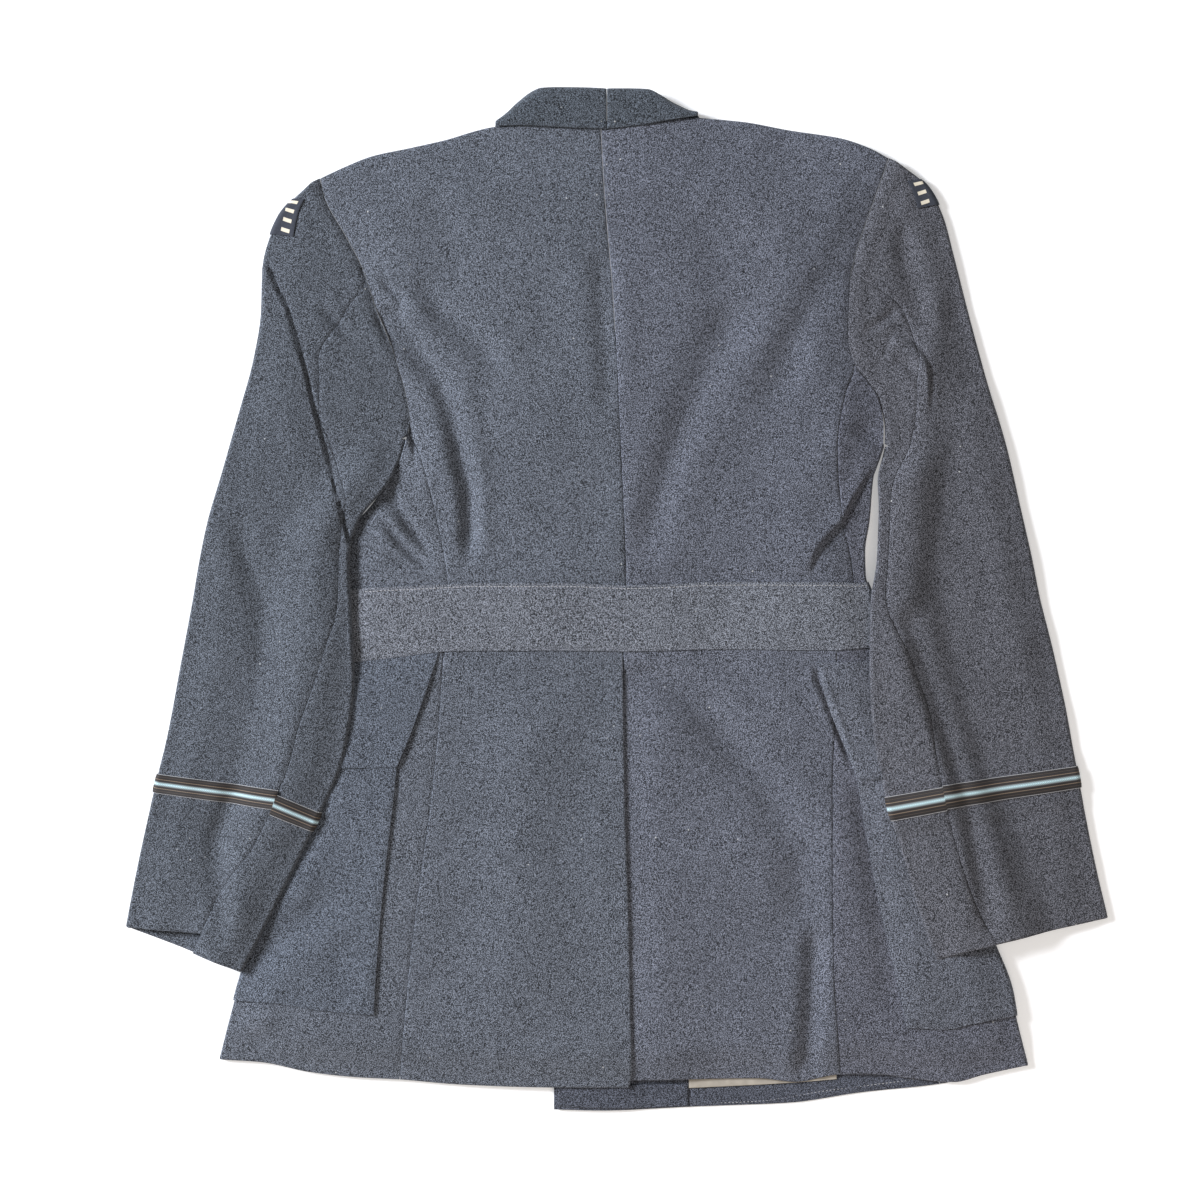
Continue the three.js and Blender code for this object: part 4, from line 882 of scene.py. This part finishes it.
# The stitching draws the cloth down a hair along both edges
sewn = np.zeros(points.shape[:2])
sewn[1] = sewn[-2] = -0.22
sewn[2:-2] = 0.12 * uneven(points[2:-2, :, 0], points[2:-2, :, 1], 30, 7)
# The belt's lighter shade of the one barathea: the cloth's own colour with painted light, set piece by piece
belt = shell("waist-belt", points, out, SEAM + BELT_WALL + sewn, SEAM, barathea("barathea belt", "56595f"))
laid("belt")
BELT_POINTS = points + out * (SEAM + BELT_WALL + sewn)[..., None]


# Collar: two halves of barathea joined at the centre back. Each folds over at the top: the fall lies
# on the back with its outer edge down, and the stand and leaf go down inside, under the neck.
COLLAR_WALL = 1.4
# Across, edge height, fold height, then the end of the hidden part: across, height, lowest face
COLLAR_LINE = {
    "left": [
        (-8, 371.5, 404, -8, 379.5, 5), (-28, 372, 404.8, -30, 379.5, 5), (-48, 373, 405, -50, 379.5, 5),
        (-60, 373.6, 404.5, -58, 379, 4.6), (-66, 374, 402.5, -69, 345, 0.6), (-79, 374.2, 393, -98, 305, 0),
        (-88, 374, 384.5, -118, 302, 0), (-96, 373.4, 378.5, -132, 306, 0)],
    "right": [
        (-8, 371.5, 404, -8, 379.5, 5), (8, 373, 404, 10, 380, 5), (24, 375, 403.5, 24, 380.5, 5),
        (36, 377.5, 398, 34, 381, 4.6), (42, 378.6, 394.5, 52, 345, 0.6), (52, 380.3, 389.5, 78, 312, 0),
        (58, 381.2, 387, 98, 306, 0), (64, 382, 386, 114, 306, 0)],
}
COLLAR_MIDDLE = -8
COLLAR_TURN = 10       # steps round the fold
# The collar's darker shade of the one barathea: the cloth's own colour with painted shade, set piece by
# piece
collar_wool = barathea("barathea collar", "3d4248")
for side, line in COLLAR_LINE.items():
    sign = SIGN[side]
    edge_y, fold_y, end_x, end_y, low_z = (through(line, k) for k in (1, 2, 3, 4, 5))
    made = []
    for x in COLLAR_MIDDLE + sign * steps([0, abs(line[-1][0] - COLLAR_MIDDLE)], 2.4):
        shift = sign * SEAM / 2 * ease(1 - abs(x - COLLAR_MIDDLE) / 20)
        high = BODY + LIFT + over_lap(x) + 0.5 + COLLAR_WALL
        low = float(low_z(x))
        depth = min((high - low) / 2, (fold_y(x) - edge_y(x)) * 0.45)
        root = float(fold_y(x)) - depth
        t = steps([0, 1], 0.09)
        y = edge_y(x) + (root - edge_y(x)) * t
        ripple = 0.25 * uneven(x + 0 * y, y, 26, 8) * np.sin(math.pi * t)
        top = np.stack([x + shift + 0 * y, y, high + ripple + 0.5 * np.sin(math.pi * t)], -1)
        angle = math.pi / 2 - math.pi * np.arange(1, COLLAR_TURN) / COLLAR_TURN
        turn = np.stack([x + shift + 0 * angle, root + depth * np.cos(angle),
                         low + (high - low) / 2 * (1 + np.sin(angle))], -1)
        t = np.linspace(0, 1, 10)
        under = np.stack([x + (end_x(x) - x) * t + shift, root + (end_y(x) - root) * t, low + 0 * t], -1)
        ways = np.concatenate([
            np.tile([0.0, 0, 1], (len(top), 1)),
            np.stack([0 * angle, np.cos(angle), np.sin(angle)], -1),
            np.tile([0.0, 0, -1], (len(under), 1)),
        ])
        made.append((np.concatenate([top, turn, under]), ways))
    points, out = (np.stack(part) for part in zip(*made))
    dip = seam_dip(points.transpose(1, 0, 2), ["first"], 0.15, 2).T
    collar = shell("collar-" + side, points, out, dip, -COLLAR_WALL, collar_wool)
    laid("collar_" + side)


# Sleeves: two-piece sleeves, each a flattened tube of a top sleeve and a narrower under sleeve, sewn
# along the hind arm and under the forearm, and set into the armhole. Their hems are open.
SLEEVE = 5.5           # thickness of a flattened sleeve
SLEEVE_TROUGH = 1.5    # a trough deeper than this would reach the layer below
SLEEVE_PUFF = 2.6      # the middle stands this much higher, with air beneath it
# Sections from the shoulder to the cuff: outer edge, inner edge, and how far from outer to inner the
# hind seam crosses
SECTIONS = {
    "left": [
        (-243, 329, -236, 333, 1), (-268, 303, -219, 296, 1), (-281, 262, -201, 258, 1),
        (-282, 228, -190, 226, 0.72), (-288, 190, -176, 190, 0.46), (-299, 150, -164, 147, 0.47),
        (-306, 125, -167, 127, 0.56), (-314, 97, -181, 96, 0.7), (-324, 63, -205, 62, 0.9),
        (-331, 30, -211, 30, 0.93), (-336, 0, -209, -6, 0.91), (-345, -48, -207, -60, 0.79),
        (-355, -102, -214, -118, 0.716), (-363, -137, -233, -167, 0.72), (-372, -175, -250, -203, 0.7),
        (-381, -217, -271, -245, 0.6), (-389, -259, -296, -294, 0.58)],
    "right": [
        (222, 346, 215, 349, 1), (246, 327, 204, 318, 1), (259, 302, 194, 291, 1),
        (267, 272, 187, 264, 1), (278, 229, 182, 228, 0.54), (287, 195, 185, 195, 0.48),
        (296, 163, 206, 161, 0.66), (303, 141, 212, 140, 0.74), (309, 120, 212, 121, 0.8),
        (320, 72, 207, 75, 0.92), (329, 32, 205, 32, 0.93), (335, 2, 200, -3, 0.91),
        (346, -42, 199, -53, 0.77), (356, -88, 202, -106, 0.7), (364, -133, 212, -157, 0.71),
        (372, -175, 225, -203, 0.714), (380, -214, 238, -246, 0.697), (389, -252, 251, -284, 0.652)],
}
# Places down the sleeve are given in sections
UNDERARM = {"left": 6, "right": 8}
SEAM_START = {"left": 1.9, "right": 2.95}
SEAM_HEAD = 0.985      # the hind seam starts this far towards the inner edge
LACE_AT = {"left": 13.22, "right": 14.17}
# Just below the armhole the sleeve lies close beside the body: height, half length, shift
CLOSE = {"left": (86, 24, 3.8), "right": (97, 16, 3.3)}
OVER_POCKET = 1.4      # the sleeve lies this much higher on a pocket, a flap or the lace
POCKET_LIES, FLAP_LIES = (14, -334), (-40, -140)                # from and to, in height
SECTION_STEP = 42      # from one section to the next at the cuff
LACE_HALF = 0.2        # in sections, about 7.5 mm
# How much higher the cuff lies at the hind seam than straight across, on the top sleeve and on the
# under sleeve: section, height
CUFF_BEND = {
    "left": ([(11, 0), (LACE_AT["left"], 10), (16, 14)], [(11, 0), (LACE_AT["left"], 6), (16, 0)]),
    "right": ([(11, 0), (LACE_AT["right"], 2), (17, 2)], [(11, 0), (LACE_AT["right"], 1), (17, 1)]),
}
# The long crease of the left sleeve, from its outer edge to its inner one
ARM_CREASE = [(-283, 272), (-276, 262), (-269, 246), (-261, 230), (-254, 206), (-247, 182), (-242, 159),
              (-236, 136), (-226, 101), (-219, 72), (-212, 47), (-209, 0), (-208, -60)]
SLEEVE_FOLDS = {
    "left": [
        (ARM_CREASE, 1.4, 4.4, 30),
        (ARM_CREASE, 1.6, -2.6, -12),
        ([(-304, 70), (-281, 0), (-276, -66)], 11, -2.8, 0),
        ([(-296, -138), (-316, -189), (-314, -230), (-310, -290)], 7, -3.6, 0),
        ([(-240, 236), (-214, 211), (-198, 196)], 4.5, -3.4, 0),
        ([(-300, 150), (-316, 60), (-330, -40)], 16, 1.4, 0),
    ],
    "right": [
        ([(248, 250), (246, 160), (240, 80), (233, -20)], 12, 2.6, 0),
        ([(218, 209), (226, 206), (238, 198), (245, 186), (247, 168), (246, 140)], 1.8, 3.4, 22),
        ([(214, 190), (230, 186), (242, 168), (246, 150)], 5, -2.4, 0),
        ([(222, 306), (232, 257), (248, 198)], 8, -2.8, 0),
        ([(188, 205), (213, 223), (236, 242)], 4, -2.2, 0),
        ([(224, 0), (244, -63), (260, -111), (272, -150), (284, -198), (299, -276)], 9, -3.8, 0),
        ([(282, 180), (304, 60), (330, -60)], 18, 1.4, 0),
    ],
}
TOP_COLUMNS, UNDER_COLUMNS = 46, 30
# Each sleeve's darker shade of the one barathea: the cloth's own colour with painted shade, set sleeve by
# sleeve
SLEEVE_TINT_AND_SHADE = {"left": "42464c", "right": "46474c"}
SLEEVE_GRID = {}
for side, sign in SIGN.items():
    table_rows = [(i, *row) for i, row in enumerate(SECTIONS[side])]
    outer_x, outer_y, inner_x, inner_y, seam_share = (through(table_rows, k) for k in (1, 2, 3, 4, 5))
    arm, last = UNDERARM[side], len(table_rows) - 1
    foot_arm, head_arm = LEVELS["fold_" + side][0][1], DOWN["armhole_" + side][0][0]
    lace = LACE_AT[side]

    def from_arm(x, y):
        """How far a point is from the armhole."""
        near = np.clip(y, foot_arm, head_arm)
        return np.hypot(x - arm_across[side](near), y - near)

    def stack(y):
        """Height of the body's top over the table where the sleeve lies on it."""
        def between(top, foot):
            """1 between two heights, and less beyond them."""
            return ease((top + 18 - y) / 14) * ease((y - foot + 18) / 14)
        return BODY + LIFT + 0.7 + OVER_POCKET * between(*POCKET_LIES) + OVER_POCKET * between(*FLAP_LIES)

    def lace_y(x):
        """Height of the lace's middle."""
        share = (x - outer_x(lace)) / (inner_x(lace) - outer_x(lace))
        return outer_y(lace) + (inner_y(lace) - outer_y(lace)) * share

    def sleeve_under_height(x, y):
        """Height of the sleeve's lower face: the fronts' at the armhole, then the body's or the table's."""
        within = sign * (fold_across[side](y) - x)
        on_body = stack(y) * ease((within + 60) / 44) * ease((y + 392) / 20) * ease((foot_arm + 12 - y) / 45)
        over_lace = OVER_POCKET * ease((26 - np.abs(y - lace_y(x))) / 12)
        free = ease(from_arm(x, y) / 36)
        return LIFT + (on_body + over_lace - LIFT) * free

    def sleeve_top_height(x, y):
        """Height of the sleeve's upper face, with its folds."""
        free = ease(from_arm(x, y) / 36)
        waves = 0.5 * uneven(x, y, 80, 9) + 0.22 * uneven(x, y, 32, 10)
        rim_out = np.interp(-y, [-r[2] for r in table_rows], [r[1] for r in table_rows])
        rim_in = np.interp(-y, [-r[4] for r in table_rows], [r[3] for r in table_rows])
        inside = np.minimum(np.abs(x - rim_out), np.abs(x - rim_in))
        inside = inside * (sign * (rim_out - x) > 0) * (sign * (x - rim_in) > 0)
        puff = SLEEVE_PUFF * ease((inside - 4) / 26)
        folds = puff + np.maximum(fold_rise(SLEEVE_FOLDS[side], x, y) + waves, -SLEEVE_TROUGH - puff)
        at_arm = back_height(x, np.minimum(y, head_arm - 14))
        # The sleeve head stands a little full beside its seam
        full = 0.9 * np.exp(-(((from_arm(x, y) - 9) / 6) ** 2)) * ease((y - 150) / 60)
        return at_arm + (sleeve_under_height(x, y) + SLEEVE + folds - at_arm) * free + full

    def edges(q):
        """Outer and inner edge of a section."""
        y = float(inner_y(q))
        height, reach, shift = CLOSE[side]
        close = sign * shift * math.exp(-(((y - height) / reach) ** 2))
        x = float(inner_x(q)) - close if q > arm else float(arm_across[side](y)) + sign * SEAM / 2
        return np.array([float(outer_x(q)), float(outer_y(q))]), np.array([x, y])

    bend_top, bend_under = (through(line) for line in CUFF_BEND[side])
    gap = SEAM / 2 / 120

    def forearm(q):
        """Where the seam under the forearm runs, as a share of the way to the inner edge."""
        return 1 if q < arm - 1e-9 else 0.94 - 0.14 * float(ease((q - arm) / 2))

    def on_seam(q, aside):
        """A point on the hind seam, or a little aside of it."""
        outer, inner = edges(q)
        return outer + (inner - outer) * (min(float(seam_share(q)), SEAM_HEAD) + aside)

    def top_row(q):
        """A row of the top sleeve, from the hind seam round the outer edge to the forearm seam."""
        outer, inner = edges(q)
        fore = forearm(q) - (0 if forearm(q) == 1 else gap)
        t = np.linspace(0, 1, TOP_COLUMNS + 1)[:, None]
        s = np.linspace(0, 1, 13)[:, None]
        start = on_seam(q - float(bend_top(q)) / SECTION_STEP, -gap) if q >= SEAM_START[side] else inner
        return turned_row(outer, (inner - outer) / np.linalg.norm(inner - outer),
                          lambda root: start + (root - start) * t,
                          lambda root: root + (outer + (inner - outer) * fore - root) * s,
                          sleeve_top_height, sleeve_under_height)

    def under_row(q):
        """A row of the under sleeve, from the hind seam round the inner edge to the forearm seam."""
        outer, inner = edges(q)
        t = np.linspace(0, 1, UNDER_COLUMNS + 1)[:, None]
        s = np.linspace(0, 1, 9)[:, None]
        start = on_seam(q - float(bend_under(q)) / SECTION_STEP, gap)
        return turned_row(inner, (outer - inner) / np.linalg.norm(inner - outer),
                          lambda root: start + ((inner if q < arm - 1e-9 else root) - start) * t,
                          lambda root: root + (outer + (inner - outer) * (forearm(q) + gap) - root) * s,
                          sleeve_top_height, sleeve_under_height)
    upper = np.linspace(0, arm, math.ceil(arm / 0.08) + 1)
    lower = steps([arm, lace - LACE_HALF, lace + LACE_HALF, last], 0.07)[2:]
    rows = np.concatenate([upper, lower])
    points, out = (np.stack(part) for part in zip(*[top_row(q) for q in rows]))
    dip = np.where(rows[:, None] > SEAM_START[side] + 0.4, seam_dip(points, ["first"], 0.5, 2.4),
                   seam_dip(points, ["first"], 0.3, 2))
    set_in = np.exp(-((from_arm(points[..., 0], points[..., 1]) / 2.8) ** 2)) * (rows[:, None] < arm)
    dip = dip - 0.6 * set_in * np.clip(out[..., 2], 0, 1)
    wool = barathea("barathea sleeve_" + side, SLEEVE_TINT_AND_SHADE[side])
    top_sleeve = shell(f"sleeve-{side}-top", points, out, dip, -CLOTH, wool)
    laid(f"sleeve_{side}_top")
    SLEEVE_GRID[side] = (rows, points, out)
    rows = rows[rows >= SEAM_START[side]]
    points, out = (np.stack(part) for part in zip(*[under_row(q) for q in rows]))
    tube = (rows[:-1, None] >= arm - 1e-9) | (np.arange(points.shape[1] - 1)[None, :] < UNDER_COLUMNS)
    dip = seam_dip(points[:, :UNDER_COLUMNS + 1], ["first"], 0.5, 2.4)
    dip = np.pad(dip, ((0, 0), (0, points.shape[1] - dip.shape[1])))
    at_arm = np.exp(-((from_arm(points[..., 0], points[..., 1]) / 2.4) ** 2)) * (rows[:, None] < arm)
    under_sleeve = shell(f"sleeve-{side}-under", points, out, dip - 0.7 * at_arm, -CLOTH, wool, keep=tube)
    laid(f"sleeve_{side}_under")
    SLEEVE_GRID[side] += (rows, points, out)


# Rank lace: a ring of woven braid round each cuff, about 15 mm wide, dark with a pale blue stripe in
# its middle and fine tan lines. It is sewn on, and pieced at the hind seam.
LACE_WIDE = 15
LACE_WALL = 1.0
lace_cloth, tree, shader = surface("rank lace", 0.7)
uv = add(tree, "UVMap", uv_map="cloth").outputs[0]
split = add(tree, "SeparateXYZ", {"Vector": uv})
along, across = split.outputs["X"], split.outputs["Y"]
# Braided ribs slant one way above the middle and the other way below it
away = add(tree, "Math", {0: across}, operation="ABSOLUTE").outputs[0]
slant = add(tree, "Math", {0: away, 1: 1.0, 2: along}, operation="MULTIPLY_ADD").outputs[0]
rib = add(tree, "Math", {0: add(tree, "Math", {0: slant, 1: 4.6}, operation="MULTIPLY").outputs[0]},
          operation="SINE").outputs[0]
ribs = add(tree, "MapRange", {"Value": rib, 1: -1.0, 2: 1.0, 3: 0.0, 4: 1.0}).outputs[0]
# Stripes from the middle at 0 to just past the edge at 1
stripes = add(tree, "ValToRGB", {"Fac": add(tree, "Math", {0: away, 1: 7.6}, operation="DIVIDE").outputs[0]})
bands = stripes.color_ramp
for place, code in [(0.0, "c8e6ec"), (0.24, "b8dde5"), (0.28, "252120"), (0.42, "2b2725"), (0.45, "8f7d6a"),
                    (0.48, "836f5e"), (0.51, "231f1e"), (0.7, "2a2624"), (0.73, "5a4c42"), (0.76, "231f1e"),
                    (0.94, "2a2624"), (1.0, "453a33")]:
    if place in (0.0, 1.0):
        mark = bands.elements[int(place)]
    else:
        mark = bands.elements.new(place)
    mark.color = linear(code)
# Painted shade and light on the braid: its colour is darker in the ribs' grooves and brighter on their
# crowns, following the bump
rib_shade_and_light = add(tree, "MapRange", {"Value": ribs, 3: 0.62, 4: 1.25}).outputs[0]
woven = add(tree, "VectorMath", {0: stripes.outputs["Color"], "Scale": rib_shade_and_light}, operation="SCALE")
tree.links.new(woven.outputs[0], shader.inputs["Base Color"])
bump = add(tree, "Bump", {"Height": ribs, "Strength": 0.6, "Distance": 0.0005})
tree.links.new(bump.outputs[0], shader.inputs["Normal"])
for side in SIGN:
    top_rows, top_points, top_out, under_rows, under_points, under_out = SLEEVE_GRID[side]
    low, high = LACE_AT[side] - LACE_HALF - 1e-6, LACE_AT[side] + LACE_HALF + 1e-6
    a, b = (np.where((r >= low) & (r <= high))[0] for r in (top_rows, under_rows))
    points = np.concatenate([top_points[a][:, ::-1], under_points[b]], 1)
    out = np.concatenate([top_out[a][:, ::-1], under_out[b]], 1)
    run = np.linalg.norm(np.diff(points, axis=1), axis=-1)
    along = np.concatenate([np.zeros((len(points), 1)), np.cumsum(run, 1)], 1)
    across = (top_rows[a] - LACE_AT[side])[:, None] / LACE_HALF * (LACE_WIDE / 2) + 0 * along
    crown = 0.25 * (1 - (across / (LACE_WIDE / 2)) ** 2)
    lace_piece = shell("lace-" + side, points, out, SEAM + LACE_WALL + crown, SEAM, lace_cloth,
                       uv=np.dstack([along, across]))
    laid("lace_" + side)


# Shoulder patches: dark felted cloth sewn over each sleeve head at its outer edge, with a plain
# motif of cream embroidered bars. They wrap round the edge, so only their inner ends show here.
patch_cloth, tree, shader = surface("patch cloth", 0.9)
uv = add(tree, "UVMap", uv_map="cloth").outputs[0]
split = add(tree, "SeparateXYZ", {"Vector": uv})
FELT = 900             # fibres in a metre, 1.1 mm apart, coarser than real felt so that they show
place = add(tree, "TexCoord").outputs["Object"]
felt = add(tree, "TexNoise", {"Vector": place, "Scale": FELT, "Detail": 2})
ground = add(tree, "ValToRGB", {"Fac": felt.outputs["Fac"]})
ground.color_ramp.elements[0].color = linear("23262d")
ground.color_ramp.elements[1].color = linear("474b55")


def band(value, middle, half):
    """1 within half a width of the middle, else 0."""
    return add(tree, "Math", {0: value, 1: middle, 2: half}, operation="COMPARE").outputs[0]


# Bars of satin stitch, 3 mm wide and 8 mm apart down the patch, from 3.5 to 10 mm inside its inner edge
repeat = add(tree, "Math", {0: split.outputs["Y"], 1: 8.0}, operation="MODULO").outputs[0]
bars = add(tree, "Math", {0: band(repeat, 4.0, 1.5), 1: band(split.outputs["X"], 7.0, 3.5)},
           operation="MULTIPLY").outputs[0]
cream = add(tree, "Mix", {0: bars, 6: ground.outputs["Color"], 7: linear("e2d9c4")}, data_type="RGBA")
tree.links.new(cream.outputs[2], shader.inputs["Base Color"])
bump = add(tree, "Bump", {"Height": bars, "Strength": 0.5, "Distance": 0.0006})
tree.links.new(bump.outputs[0], shader.inputs["Normal"])
PATCH_WALL = 1.0
PATCH_ROWS = {"left": (0.42, 1.42), "right": (0.66, 1.6)}       # from and to, in sections
PATCH_COLUMNS = 12     # columns of the sleeve that it covers before the outer edge
for side in SIGN:
    rows, points, out = SLEEVE_GRID[side][:3]
    low, high = PATCH_ROWS[side]
    kept = (rows >= low) & (rows <= high)
    covered = slice(TOP_COLUMNS - PATCH_COLUMNS, TOP_COLUMNS + TURN)
    band_points, band_out = points[kept][:, covered], out[kept][:, covered]
    x = np.linalg.norm(np.diff(band_points, axis=1), axis=-1)
    x = np.concatenate([np.zeros((len(x), 1)), np.cumsum(x, 1)], 1)
    y = np.linalg.norm(np.diff(band_points, axis=0), axis=-1)
    y = np.concatenate([np.zeros((1, y.shape[1])), np.cumsum(y, 0)])
    patch_piece = shell("patch-" + side, band_points, band_out, SEAM + PATCH_WALL, SEAM, patch_cloth,
                        uv=np.dstack([x, y]))
    laid("patch_" + side)


# Stitching: rows of pale cotton machine stitches, along the belt's upper edge and through the right
# front's turned-up hem. Each stitch is a short thread that dips into the cloth at both ends.
cotton, tree, shader = surface("stitching cotton", 0.7)
shader.inputs["Base Color"].default_value = linear("b9b8b8")
STITCH, PITCH, THREAD = 2.1, 3.0, 0.24       # length, from one to the next, and the thread's radius
SINK = [-0.25, 0.05, 0.12, 0.05, -0.25]      # height of the thread over the cloth along a stitch


def stitches(name, path):
    """A row of stitches along a path of points on the cloth."""
    run = np.concatenate([[0], np.cumsum(np.linalg.norm(np.diff(path, axis=0), axis=1))])
    verts, faces = [], []
    for start in np.arange(1, run[-1] - STITCH, PITCH):
        place = start + STITCH * np.array([0, 0.25, 0.5, 0.75, 1])
        line = np.stack([np.interp(place, run, path[:, k]) for k in range(3)], -1)
        line[:, 2] += SINK
        way = line[-1] - line[0]
        way = way / np.linalg.norm(way)
        side = np.cross(way, [0, 0, 1])
        base = len(verts)
        for point in line:
            for a in np.arange(5) * 2 * math.pi / 5:
                spoke = side * math.cos(a) + np.array([0, 0, 1]) * math.sin(a)
                verts.append(tuple((point + THREAD * spoke) / 1000))
        for i in range(4):
            for j in range(5):
                a, b = base + 5 * i + j, base + 5 * i + (j + 1) % 5
                faces.append((a, b, b + 5, a + 5))
        faces += [tuple(base + k for k in range(4, -1, -1)), tuple(base + 20 + k for k in range(5))]
    mesh = bpy.data.meshes.new(name)
    mesh.from_pydata(verts, [], faces)
    mesh.materials.append(cotton)
    row = bpy.data.objects.new(name, mesh)
    bpy.context.collection.objects.link(row)
    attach(row, "root")


top_line = BELT_POINTS[1]
seen = (top_line[:, 2] > 7) & (np.abs(top_line[:, 0]) < 200)
stitches("belt-stitches", top_line[seen])
hem_x = np.linspace(60, 238, 90)
hem_y = through([(60, -399.5), (107, -398), (165, -389.5), (208, -384), (240, -380)])(hem_x)
hem_z = front_right_height(hem_x, hem_y) + CLOTH + 0.05
stitches("hem-stitches", np.stack([hem_x, hem_y, hem_z], -1))


size = [[list(v) for v in packed], [list(v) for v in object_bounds()]]
